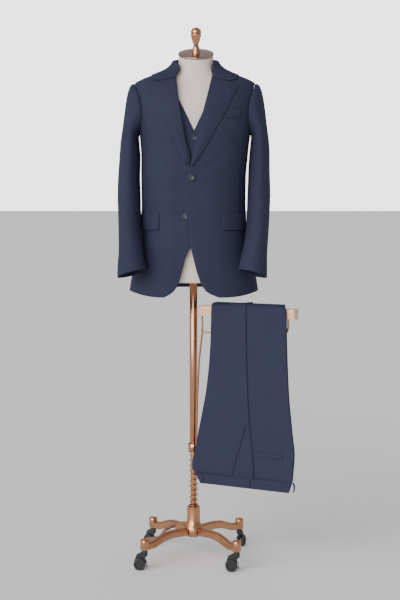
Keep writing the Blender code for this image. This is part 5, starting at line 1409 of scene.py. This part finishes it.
def round_button(skin, angle, z, out, radius, thick, segments=40):
    """A button with a rim and a dished middle, and two parallel stitches over it."""
    normal = skin.normal(angle, z)
    place = skin.point(angle, z) + (out + SEAM) * normal
    profile = ((radius * 0.80, 0.0), (radius * 0.96, thick * 0.22), (radius, thick * 0.5),
               (radius * 0.97, thick * 0.86), (radius * 0.90, thick), (radius * 0.78, thick),
               (radius * 0.66, thick * 0.80), (radius * 0.55, thick * 0.70), (radius * 0.30, thick * 0.66),
               (0.0, thick * 0.66))
    frame_at = facing(place, normal)
    disc = turned(profile, segments)
    disc = (moved(disc[0], frame_at), disc[1])
    stitches = []
    reach = radius * 0.20
    for offset in (-1.0, 1.0):
        path = []
        for share in spread(-1.0, 1.0, 6):
            lift = thick * 0.70 + 0.0006 * (1 - share * share) - 0.0003
            path.append((share * reach * 1.15, offset * reach * 0.8, lift))
        thread = rod(path, 0.00042, 6)
        stitches.append((moved(thread[0], frame_at), thread[1]))
    return disc, stitches


def add_button(name, node, body, made):
    discs = [disc for disc, stitches in made]
    threads = [thread for disc, stitches in made for thread in stitches]
    vertices, faces = joined(*discs)
    new_piece(name + "_disc", vertices, faces, finish("button"), body, (node,), 50.0)
    vertices, faces = joined(*threads)
    new_piece(name + "_thread", vertices, faces, finish("thread"), body, ())


def worked_hole(name, ends, out):
    """A buttonhole's row of stitches on the left front, a thin cord half sunk in the cloth."""
    (x_first, z_first), (x_last, z_last) = ends
    path = []
    for share in spread(0.0, 1.0, 8):
        x = x_first + (x_last - x_first) * share
        z = z_first + (z_last - z_first) * share
        rise = out + front_out("left", x, z)
        angle = JACKET.angle(x, z)
        path.append(JACKET.point(angle, z) + rise * JACKET.normal(angle, z))
    vertices, faces = rod(path, HOLE_RADIUS, 8)
    new_piece(name, vertices, faces, finish("thread"), "upper", ())


class SUIT_OT_buttons(Operator):
    """Adds the front, cuff and waistcoat buttons with their stitches and two worked buttonholes"""

    bl_idname = "suit.buttons"
    bl_label = "Buttons"

    def execute(self, context):
        x, z = BUTTON_UPPER
        made = round_button(JACKET, JACKET.angle(x, z), z, 0.0005, BUTTON_RADIUS, BUTTON_THICK)
        add_button("button_upper", "button_upper", "upper", [made])
        x, z = BUTTON_LOWER
        made = round_button(JACKET, JACKET.angle(x, z), z, -LAP, BUTTON_RADIUS, BUTTON_THICK)
        add_button("button_lower", "button_lower", "upper", [made])
        for side in SIDES:
            sleeve = Sleeve(side)
            v = 1.0 + (CUFF_BUTTON_FIRST - SLEEVE_SECTIONS[0][0]) / (SLEEVE_SECTIONS[-1][0]
                                                                     - SLEEVE_SECTIONS[0][0])
            made = []
            for i in range(CUFF_BUTTONS):
                made.append(round_button(sleeve, CUFF_BUTTON_ANGLE, v, 0.0006, CUFF_BUTTON_RADIUS * 0.97,
                                         0.0028, 32))
                pace = np.linalg.norm(sleeve.point(CUFF_BUTTON_ANGLE, v)
                                      - sleeve.point(CUFF_BUTTON_ANGLE, v - 0.01))
                v -= 0.01 * CUFF_BUTTON_PITCH / pace
            add_button("cuff_buttons_" + side, "cuff_buttons_" + side, "upper", made)
        for number, z in enumerate(WAISTCOAT_BUTTONS, 1):
            angle = WAISTCOAT.angle(WAISTCOAT_BUTTON_X, z)
            made = round_button(WAISTCOAT, angle, z, 0.0, WAISTCOAT_BUTTON_RADIUS, 0.0024, 28)
            name = "waistcoat_button_%d" % number
            add_button(name, name, "upper", [made])
        worked_hole("lapel_buttonhole", LAPEL_HOLE, ON_TOP + LAPEL_HOLE_ROLL)
        worked_hole("front_buttonhole", FRONT_HOLE, 0.0)
        return {"FINISHED"}


# Waistcoat

def waist_arm(z):
    """Angle of the waistcoat's armhole edge at a height."""
    if z <= WAIST_ARM_LOW or z >= WAIST_ARM_HIGH:
        return ARM_SIDE
    middle = (WAIST_ARM_LOW + WAIST_ARM_HIGH) / 2
    share = (z - middle) / (WAIST_ARM_HIGH - middle)
    return ARM_SIDE - WAIST_ARM_ANGLE * math.sqrt(max(0.0, 1 - share * share))


def waist_hem(angle, z):
    rise = 0.045 * ease((abs(angle) - 12) / 50)
    return z + rise * (1 - ease((z - WAIST_HEM) / 0.15))


def waist_rows(parts):
    rows = spread(WAIST_HEM, WAIST_ARM_LOW, 6 * parts)
    middle = (WAIST_ARM_LOW + WAIST_ARM_HIGH) / 2
    for theta in spread(180.0, 0.0, 6 * parts)[1:]:
        rows.append(middle + (WAIST_ARM_HIGH - middle) * math.cos(math.radians(theta)))
    return rows + spread(WAIST_ARM_HIGH, 1.600, 2 * parts)[1:]


class SUIT_OT_waistcoat(Operator):
    """Adds the waistcoat's fronts and back"""

    bl_idname = "suit.waistcoat"
    bl_label = "Waistcoat"

    def execute(self, context):
        parts = context.scene.suit_cloth.fineness
        edge = CLOTH_SEAM
        for side in SIDES:
            grid = []
            for z in waist_rows(parts):
                start = WAISTCOAT.angle(WAISTCOAT_FRONT_EDGE.at(side, z), z)
                end = SIDES[side] * waist_arm(z)
                row = []
                for step in spread(0.0, 1.0, 5 * parts):
                    angle = start + (end - start) * step
                    height = waist_hem(angle, z)
                    x = WAISTCOAT.point(angle, height)[0]
                    out = -WAIST_LAP * ease((x + 0.050) / 0.030) if side == "right" else 0.0
                    row.append((angle, height, out))
                grid.append(row)
            cloth_panel("waistcoat_front_" + side + "_cloth", WAISTCOAT, grid, finish("wool"), "upper",
                        "waistcoat_front_" + side, (0.0004, edge, 0.0007, edge))
        grid = []
        for z in waist_rows(parts):
            start = 180.0 - waist_arm(z)
            row = []
            for step in spread(0.0, 1.0, 10 * parts):
                angle = start + (360.0 - 2 * start) * step
                row.append((angle, waist_hem(min(angle, 360 - angle), z), 0.0))
            grid.append(row)
        # the waistcoat's back takes the suiting darkened as painted shade, as it lies under the jacket
        cloth_panel("waistcoat_back_cloth", WAISTCOAT, grid, finish("wool_painted_shade"), "upper",
                    "waistcoat_back", (0.0004, edge, edge, edge))
        return {"FINISHED"}


# Dress form

class SUIT_OT_dress_form(Operator):
    """Adds the linen-covered form, its polished neck cap and the turned finial"""

    bl_idname = "suit.dress_form"
    bl_label = "Dress form"

    def execute(self, context):
        form = Torso(FORM_COLUMNS, FORM_SECTIONS)
        rings = []
        levels = [0.9200, 0.9215, 0.9240, 0.9280] + spread(0.935, 1.50, 40) + spread(1.50, 1.66, 24)[1:]
        for z in levels:
            ring = []
            for i in range(72):
                point = form.point(360.0 * i / 72, z)
                point[2] += form.table.at("tilt", z) * point[1]
                ring.append(point)
            rings.append(ring)
        vertices, faces = rings_solid(rings)
        new_piece("form_cover", vertices, faces, finish("linen"), "upper", ("form_body",), 50.0)
        rim = 0.0020
        profile = ((CAP_RADIUS - rim, 0.0), (CAP_RADIUS - rim * 0.3, rim * 0.3), (CAP_RADIUS, rim),
                   (CAP_RADIUS, CAP_THICK - rim), (CAP_RADIUS - rim * 0.3, CAP_THICK - rim * 0.3),
                   (CAP_RADIUS - rim, CAP_THICK), (CAP_RADIUS * 0.5, CAP_THICK), (0.0, CAP_THICK))
        vertices, faces = turned(profile, 72)
        lean = Matrix.Rotation(math.atan(CAP_TILT), 4, "X")
        vertices = moved(vertices, Matrix.Translation(CAP_CENTRE) @ lean)
        new_piece("neck_cap_disc", vertices, faces, finish("cap"), "upper", ("neck_cap",), 50.0)
        foot = CAP_CENTRE[2] + CAP_THICK / math.cos(math.atan(CAP_TILT)) + SEAM + 0.0001
        vertices, faces = turned(eased_profile(FINIAL_PROFILE, 4, (0, 3, 8, 9, 10)), 48)
        placed = []
        for x, y, z in vertices:
            slope = CAP_TILT * y * (1 - ease(z / 0.018))
            placed.append((x + CAP_CENTRE[0], y + CAP_CENTRE[1], z + foot + slope))
        new_piece("finial_turned", placed, faces, finish("copper"), "upper", ("finial",), 40.0)
        return {"FINISHED"}


# Stand

def leg_direction(index):
    turn = math.radians(LEG_ANGLES[index] + LEG_TURN)
    return Vector((math.cos(turn), math.sin(turn), 0.0))


def leg_mesh(index):
    ahead = leg_direction(index)
    across = Vector((-ahead.y, ahead.x, 0.0))
    table = Table(LEG_COLUMNS, LEG_SECTIONS)
    rings = []
    for reach in spread(LEG_SECTIONS[0][0], LEG_SECTIONS[-1][0] + 0.004, 40):
        bottom = table.at("bottom", reach)
        top = table.at("top", reach)
        half = table.at("half_width", reach)
        middle = (top + bottom) / 2
        tall = (top - bottom) / 2
        ring = []
        for i in range(28):
            turn = 2 * math.pi * (i + 0.5) / 28
            side = half * math.copysign(abs(math.cos(turn)) ** 0.42, math.cos(turn))
            rise = tall * math.copysign(abs(math.sin(turn)) ** 0.42, math.sin(turn))
            ring.append(ahead * reach + across * side + Vector((0, 0, middle + rise)))
        rings.append(ring)
    arch = rings_solid(rings)
    spot = ahead * LEG_REACH
    profile = ((BOSS_BORE, BOSS_FOOT), (BOSS_RADIUS - 0.0015, BOSS_FOOT), (BOSS_RADIUS, BOSS_FOOT + 0.0015),
               (BOSS_RADIUS, BOSS_TOP - 0.0035), (BOSS_RADIUS - 0.0010, BOSS_TOP - 0.0010),
               (BOSS_RADIUS - 0.0035, BOSS_TOP), (0.0, BOSS_TOP))
    boss = turned(profile, 40)
    return joined(arch, (moved(boss[0], Matrix.Translation(spot)), boss[1]))


class SUIT_OT_stand(Operator):
    """Adds the pole, its sprung slide, the socket and the four arched legs"""

    bl_idname = "suit.stand"
    bl_label = "Pole, spring and legs"

    def execute(self, context):
        copper = finish("copper")
        rim = 0.0006
        profile = ((POLE_BORE, POLE_FOOT), (POLE_RADIUS - rim, POLE_FOOT), (POLE_RADIUS, POLE_FOOT + rim),
                   (POLE_RADIUS, FORM_FOOT - SEAM - rim), (POLE_RADIUS - rim, FORM_FOOT - SEAM),
                   (POLE_BORE, FORM_FOOT - SEAM))
        vertices, faces = turned(profile, 48, closed=True)
        new_piece("pole_outer_tube", vertices, faces, copper, "upper", ("pole_outer",), 50.0)
        profile = ((INNER_RADIUS - rim, INNER_FOOT), (INNER_RADIUS, INNER_FOOT + rim),
                   (INNER_RADIUS, INNER_TOP - rim), (INNER_RADIUS - rim, INNER_TOP))
        vertices, faces = turned(profile, 40)
        new_piece("pole_inner_tube", vertices, faces, copper, "column", ("pole_inner",), 50.0)
        top = POLE_FOOT - SEAM - SPRING_WIRE
        low = SPRING_FOOT + SPRING_WIRE
        path = []
        steps = SPRING_TURNS * 28
        dead = 1.0 / SPRING_TURNS
        for i in range(steps + 1):
            share = i / steps
            turn = 2 * math.pi * i / 28
            climb = min(max((share - dead) / (1 - 2 * dead), 0.0), 1.0)
            lift = 0.0033 * (min(share / dead, 1.0) + min(max((share - 1 + dead) / dead, 0.0), 1.0))
            z = low + (top - low - 0.0066) * climb + lift
            path.append((SPRING_RADIUS * math.cos(turn), SPRING_RADIUS * math.sin(turn), z))
        vertices, faces = rod(path, SPRING_WIRE, 10)
        coil = new_piece("spring_coil", vertices, faces, copper, None, ("spring",), 70.0)
        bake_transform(coil)
        floor = INNER_FOOT - SEAM
        profile = ((0.0, SOCKET_FOOT), (0.0225, SOCKET_FOOT), (0.0246, SOCKET_FOOT + 0.0010),
                   (HUB_RADIUS - 0.0006, 0.0820), (HUB_RADIUS, 0.0840), (HUB_RADIUS, 0.1060),
                   (HUB_RADIUS - 0.0010, 0.1080), (0.0252, 0.1160), (0.0228, 0.1225), (SOCKET_RADIUS, 0.1300),
                   (SOCKET_RADIUS, SOCKET_TOP - 0.0062), (SOCKET_RADIUS - 0.0009, SOCKET_TOP - 0.0056),
                   (SOCKET_RADIUS - 0.0009, SOCKET_TOP - 0.0046), (SOCKET_RADIUS, SOCKET_TOP - 0.0040),
                   (SOCKET_RADIUS, SOCKET_TOP - 0.0008), (SOCKET_RADIUS - 0.0008, SOCKET_TOP),
                   (SOCKET_BORE, SOCKET_TOP), (SOCKET_BORE, floor), (0.0, floor))
        vertices, faces = turned(profile, 56)
        new_piece("socket_turned", vertices, faces, copper, "base", ("socket",), 35.0)
        for index, name in enumerate(LEG_NAMES):
            vertices, faces = leg_mesh(index)
            new_piece("leg_" + name + "_arch", vertices, faces, copper, "base", ("leg_" + name,),
                      50.0)
        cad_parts["pedal"].material_slots[0].material = copper
        return {"FINISHED"}


class SUIT_OT_castors(Operator):
    """Adds the twin wheels and gives arms and brakes their moulded plastic"""

    bl_idname = "suit.castors"
    bl_label = "Castors"

    def execute(self, context):
        plastic = finish("plastic")
        height = WHEEL_RADIUS * math.cos(math.pi / WHEEL_SIDES)
        radius = height
        for index, name in enumerate(LEG_NAMES):
            angle, trail = TRAIL[name]
            spot = leg_direction(index) * LEG_REACH
            place = Matrix.Translation(spot) @ Matrix.Rotation(math.radians(angle), 4, "Z")
            place = place @ Matrix.Translation((trail, 0, height)) @ Matrix.Rotation(math.pi / 2, 4, "X")
            side = WHEEL_WIDTH / 2
            groove = WHEEL_GROOVE / 2
            half = ((0.0, side - 0.0015), (0.0040, side - 0.0015), (0.0045, side - 0.0030),
                    (0.0120, side - 0.0030), (0.0135, side - 0.0004), (radius - 0.0030, side),
                    (radius - 0.0010, side - 0.0005), (radius, side - 0.0020), (radius, groove + 0.0005),
                    (radius - 0.0006, groove), (AXLE_RADIUS, groove))
            profile = [(r, -h) for r, h in half] + [(r, h) for r, h in reversed(half)]
            vertices, faces = turned(profile, 48)
            new_piece("castor_wheel_" + name + "_tread", moved(vertices, place), faces, plastic,
                      "wheel_" + name, ("castor_wheel_" + name,), 35.0)
            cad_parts["castor_arm_" + name].material_slots[0].material = plastic
        for name in LEG_NAMES[:2]:
            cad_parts["brake_" + name].material_slots[0].material = plastic
        return {"FINISHED"}


# Trouser bar and folded trousers

class SUIT_OT_trouser_bar(Operator):
    """Adds the wooden bar and the bent rod that carries it"""

    bl_idname = "suit.trouser_bar"
    bl_label = "Trouser bar"

    def execute(self, context):
        rings = []
        low, high = BAR_TOP - 2 * BAR_HALF, BAR_TOP
        middle = (low + high) / 2
        ends = ((0.0, 0.0012), (0.0004, 0.0004), (0.0012, 0.0))
        stations = [(x, inset) for x, inset in ends] + [(x, 0.0) for x in spread(0.02, BAR_LENGTH - 0.02, 8)]
        stations += [(BAR_LENGTH - x, inset) for x, inset in reversed(ends)]
        for x, inset in stations:
            ring = []
            for corner in range(4):
                for turn in (0, 22.5, 45, 67.5, 90):
                    around = math.radians(corner * 90 + turn)
                    square = math.radians(corner * 90 + 45)
                    reach = BAR_HALF - inset - BAR_EDGE
                    y = reach * math.copysign(1, math.cos(square)) + BAR_EDGE * math.cos(around)
                    z = reach * math.copysign(1, math.sin(square)) + BAR_EDGE * math.sin(around)
                    ring.append(BAR_FRAME @ Vector((x, y, middle + z)))
            rings.append(ring)
        vertices, faces = rings_solid(rings)
        new_piece("trouser_bar_wood", vertices, faces, finish("wood"), "bar", ("trouser_bar",),
                  50.0)
        top = BAR_FRAME @ Vector((ROD_TOP[0], 0, ROD_TOP[1]))
        joint = BAR_FRAME @ Vector((ROD_TOP[0], 0, STAY_HEIGHT))
        foot = Vector((0.0092, -0.0146, ROD_FOOT + CLAMP_HEIGHT / 2))
        controls = [top, joint, Vector((0.0190, -0.0235, ROD_BEND_TOP)),
                    Vector((0.0133, -0.0180, 0.5340)), foot + Vector((0.0010, -0.0014, 0.0450)), foot]
        upright = rod(curve_points(controls, 10), ROD_RADIUS, 20)
        stay = [(ROD_TOP[0], 0, STAY_HEIGHT), (0.10, 0, STAY_HEIGHT - 0.0010),
                (STAY_END - STAY_BEND * 2, 0, STAY_HEIGHT),
                (STAY_END - STAY_BEND * 0.45, 0, STAY_HEIGHT + 0.0080),
                (STAY_END, 0, STAY_HEIGHT + STAY_BEND), (STAY_END, 0, BAR_TOP - 2 * BAR_HALF - 0.0008)]
        brace = rod([BAR_FRAME @ p for p in curve_points(stay, 8)], ROD_RADIUS, 20)
        bore = POLE_RADIUS + 0.0003
        rim = 0.0010
        ring = ((bore, ROD_FOOT), (CLAMP_RADIUS - rim, ROD_FOOT), (CLAMP_RADIUS, ROD_FOOT + rim),
                (CLAMP_RADIUS, ROD_FOOT + CLAMP_HEIGHT - rim), (CLAMP_RADIUS - rim, ROD_FOOT + CLAMP_HEIGHT),
                (bore, ROD_FOOT + CLAMP_HEIGHT))
        clamp = turned(ring, 48, closed=True)
        vertices, faces = joined(upright, brace, clamp)
        new_piece("bar_support_rods", vertices, faces, finish("copper"), "bar", ("bar_support",),
                  50.0)
        return {"FINISHED"}


def trouser_rows(parts):
    rise, bend, top = OUTER_SKIN.lengths()
    rows = spread(BAND_HEIGHT, rise, 10 * parts)
    rows += spread(rise, rise + bend, 2 * parts)[1:]
    rows += spread(rise + bend, rise + bend + top, 1 * parts)[1:]
    rows += spread(rise + bend + top, rise + 2 * bend + top, 2 * parts)[1:]
    return rows + spread(rise + 2 * bend + top, OUTER_SKIN.end(), 7 * parts)[1:]


class SUIT_OT_trousers(Operator):
    """Adds the folded trousers that hang over the bar, waist down in front"""

    bl_idname = "suit.trousers"
    bl_label = "Trousers"

    def execute(self, context):
        cloth = context.scene.suit_cloth
        parts = cloth.fineness
        wool = finish("wool")
        grid = []
        other = []
        for run in trouser_rows(parts):
            left, fold = TROUSERS.at("left", run), TROUSERS.at("fold", run)
            right = TROUSERS.at("right", run)
            row = []
            for share in spread(0.0, 1.0, 8 * parts):
                along = left + (fold - left) * share
                crease = max(crease_height(TROUSER_CREASES, along, run), 0.0) * cloth.crease_depth
                roll = 0.0012 * ease((share - 0.93) / 0.07)
                row.append((along, run, FRONT_LIFT * ease((share - 0.6) / 0.4) + crease + roll))
            grid.append(row)
            row = []
            for share in spread(0.0, 1.0, 7 * parts):
                along = fold - FOLD_OVER + (right - fold + FOLD_OVER) * share
                crease = max(crease_height(TROUSER_CREASES, along, run), 0.0) * cloth.crease_depth
                crease *= ease((along - fold) / 0.012)
                row.append((along, run, crease))
            other.append(row)
        cloth_panel("trouser_front_cloth", OUTER_SKIN, grid, wool, "bar", "trouser_front_panel",
                    (0.0006, 0.0003, 0.0004, 0.0004))
        cloth_panel("trouser_back_cloth", OUTER_SKIN, other, wool, "bar", "trouser_back_panel",
                    (0.0006, 0.0003, 0.0004, 0.0004))
        self.layers(parts)
        grid = []
        for run in spread(0.0, BAND_HEIGHT - SEAM, 2 * parts):
            left = TROUSERS.at("left", run)
            right = TROUSERS.at("right", run)
            shares = spread(0.0, 1.0, 12 * parts)
            grid.append([(left + (right - left) * share, run, 0.0004) for share in shares])
        cloth_panel("waistband_cloth", OUTER_SKIN, grid, wool, "bar", "waistband", (0.0003, 0.0006, 0, 0))
        for number, along in enumerate(LOOP_PLACES, 1):
            grid = []
            for share in spread(0.0, 1.0, 3 * parts):
                run = 0.001 + (BAND_HEIGHT - 0.002) * share
                arch = 0.0009 * math.sin(math.pi * share)
                row = []
                for across in spread(-1.0, 1.0, 2 * parts):
                    row.append((along + LOOP_HALF * across, run, 0.0004 + SEAM + LOOP_THICK + arch))
                grid.append(row)
            cloth_panel("belt_loop_%d_cloth" % number, OUTER_SKIN, grid, wool, "bar",
                        "belt_loop_%d" % number, thick=LOOP_THICK)
        self.open_loop(wool)
        (start, low_start), (end, low_end) = BACK_WELT
        grid = []
        for lift in spread(0.0, 1.0, 2 * parts):
            row = []
            for share in spread(0.0, 1.0, 6 * parts):
                z = low_start + (low_end - low_start) * share + lift * BACK_WELT_HEIGHT
                row.append((start + (end - start) * share, z - WAIST_FOOT, ON_TOP))
            grid.append(row)
        cloth_panel("back_pocket_welt_cloth", OUTER_SKIN, grid, wool, "bar", "back_pocket_welt")
        (top, z_top), (low, z_low) = SLANT
        grid = []
        for share in spread(0.0, 1.0, 8 * parts):
            along = low + (top - low) * share
            run = z_low + (z_top - z_low) * share - WAIST_FOOT
            row = []
            for width in spread(0.0, 0.008, parts):
                lift = FRONT_LIFT * ease(((along + width) / TROUSERS.at("fold", run) - 0.6) / 0.4)
                row.append((along + width, run, lift + ON_TOP + 0.0006))
            grid.append(row)
        cloth_panel("pocket_edge_cloth", OUTER_SKIN, grid, wool, "bar", "pocket_edge")
        return {"FINISHED"}

    def layers(self, parts):
        """The plies under the visible side, rounded and stepped at their edges."""
        skin = INNER_SKIN
        rise, bend, top = skin.lengths()
        runs = spread(0.004, rise, 8 * parts) + spread(rise, rise + bend, 2 * parts)[1:]
        runs += spread(rise + bend, rise + bend + top, parts)[1:]
        runs += spread(rise + bend + top, rise + 2 * bend + top, 2 * parts)[1:]
        runs += spread(rise + 2 * bend + top, skin.end(), 6 * parts)[1:]
        plies = 3
        rings = []
        for run in runs:
            left = TROUSERS.at("left", run) + 0.0030
            right = TROUSERS.at("right", run) - 0.0030
            edge = []
            for share in spread(0.0, 1.0, 8 * plies):
                phase = share * plies % 1.0 if share < 1.0 else 1.0
                swell = 0.0022 * math.sin(math.pi * phase) ** 0.5 - 0.0002
                edge.append((swell, 0.0006 + (PLY - 0.0012) * share))
            ring = []
            for back, depth in edge:
                ring.append(skin.point(left - back, run) - depth * skin.normal(left, run))
            for back, depth in reversed(edge):
                ring.append(skin.point(right + back, run) - depth * skin.normal(right, run))
            rings.append(ring)
        vertices, faces = rings_solid(rings)
        # the plies take the suiting darkened as painted shade, as they lie between the trouser panels
        piece = new_piece("trouser_plies_cloth", vertices, faces, finish("wool_painted_shade"), "bar",
                          ("trouser_layers",))

    def open_loop(self, wool):
        edge = TROUSERS.at("right", BAND_HEIGHT + 0.004) + 0.0004
        depth = -(OUTER_SKIN.reach - 0.004)
        rings = []
        for share in spread(0.0, 1.0, 16):
            out = 0.0062 * math.sin(math.pi * share) ** 0.6
            rise = 0.0012 + 0.0318 * share
            ring = []
            for along, side in ((0.0, -LOOP_HALF), (0.0, LOOP_HALF), (LOOP_THICK, LOOP_HALF),
                                (LOOP_THICK, -LOOP_HALF)):
                ring.append(BAR_FRAME @ Vector((edge + out + along, depth + side, WAIST_FOOT + rise)))
            rings.append(ring)
        vertices, faces = rings_solid(rings)
        new_piece("belt_loop_open_cloth", vertices, faces, wool, "bar", ("belt_loop_open",),
                  70.0)


# Studio

FLOOR_HALF = 150.0
FLOOR_GAP = 0.0004
LIGHT_SOFTNESS = 60.0
KEY_TOWARD = (-1.70, -3.00, 0.80)
FILL_TOWARD = (-2.60, -1.60, 0.90)


class SUIT_OT_stage(Operator):
    """Adds the pale floor, the soft lights and the camera"""

    bl_idname = "suit.stage"
    bl_label = "Studio"

    def execute(self, context):
        studio = context.scene.suit_studio
        mesh = bpy.data.meshes.new("studio_floor")
        size = FLOOR_HALF
        mesh.from_pydata([(-size, -size, 0), (size, -size, 0), (size, size, 0), (-size, size, 0)], [],
                         [(0, 1, 2, 3)])
        mesh.materials.append(finish("floor"))
        floor = bpy.data.objects.new("studio_floor", mesh)
        floor.location = (0, 0, -FLOOR_GAP)
        context.scene.collection.objects.link(floor)
        self.light("key_light", studio.key, LIGHT_SOFTNESS, KEY_TOWARD)
        self.light("fill_light", studio.fill, LIGHT_SOFTNESS, FILL_TOWARD)
        world = bpy.data.worlds.new("studio_world")
        world.use_nodes = True
        nodes = world.node_tree.nodes
        links = world.node_tree.links
        surround = nodes["Background"]
        set_inputs(surround, {"Strength": studio.surround, "Color": (1.0, 1.0, 1.0, 1.0)})
        backdrop = set_inputs(nodes.new("ShaderNodeBackground"), {"Strength": studio.backdrop,
                                                                  "Color": (1.0, 1.0, 1.0, 1.0)})
        seen = nodes.new("ShaderNodeLightPath")
        choice = nodes.new("ShaderNodeMixShader")
        links.new(seen.outputs["Is Camera Ray"], choice.inputs[0])
        links.new(surround.outputs[0], choice.inputs[1])
        links.new(backdrop.outputs[0], choice.inputs[2])
        links.new(choice.outputs[0], nodes["World Output"].inputs["Surface"])
        context.scene.world = world
        camera_data = bpy.data.cameras.new("studio_camera")
        camera_data.lens = studio.lens
        camera_data.sensor_width = 36.0
        camera_data.shift_y = studio.rise
        camera_data.clip_end = 200.0
        camera = bpy.data.objects.new("studio_camera", camera_data)
        camera.location = (PLACE[0] + studio.side, PLACE[1] - studio.distance, studio.height)
        camera.rotation_euler = (math.pi / 2 - studio.pitch, 0.0, 0.0)
        context.scene.collection.objects.link(camera)
        context.scene.camera = camera
        return {"FINISHED"}

    def light(self, name, strength, softness, toward):
        lamp = bpy.data.lights.new(name, "SUN")
        lamp.energy = strength
        lamp.angle = math.radians(softness)
        item = bpy.data.objects.new(name, lamp)
        item.location = toward
        item.rotation_euler = Vector(toward).to_track_quat("Z", "Y").to_euler()
        bpy.context.scene.collection.objects.link(item)


OPERATORS = (SUIT_OT_jacket_body, SUIT_OT_sleeves, SUIT_OT_lapels_and_collar, SUIT_OT_pockets,
             SUIT_OT_buttons, SUIT_OT_waistcoat, SUIT_OT_dress_form, SUIT_OT_stand, SUIT_OT_castors,
             SUIT_OT_trouser_bar, SUIT_OT_trousers, SUIT_OT_stage)
SETTINGS = (("suit_cloth", SuitClothSettings), ("suit_colours", SuitColourSettings),
            ("suit_studio", SuitStudioSettings))


class SUIT_PT_maker(Panel):
    """Lists the suit's settings and the steps that build it"""

    bl_idname = "SUIT_PT_maker"
    bl_label = "Suit on a dress form"
    bl_space_type = "VIEW_3D"
    bl_region_type = "UI"
    bl_category = "Suit"

    def draw(self, context):
        for name, group in SETTINGS:
            box = self.layout.box()
            settings = getattr(context.scene, name)
            for setting in group.__annotations__:
                box.prop(settings, setting)
        for operator in OPERATORS:
            self.layout.operator(operator.bl_idname)


CLASSES = tuple(group for name, group in SETTINGS) + OPERATORS + (SUIT_PT_maker,)


def register():
    for item in CLASSES:
        bpy.utils.register_class(item)
    for name, group in SETTINGS:
        setattr(bpy.types.Scene, name, PointerProperty(type=group))


def unregister():
    for name, group in SETTINGS:
        delattr(bpy.types.Scene, name)
    for item in reversed(CLASSES):
        bpy.utils.unregister_class(item)


def main():
    register()
    for operator in OPERATORS:
        family, name = operator.bl_idname.split(".")
        getattr(getattr(bpy.ops, family), name)()


if __name__ == "__main__":
    main()
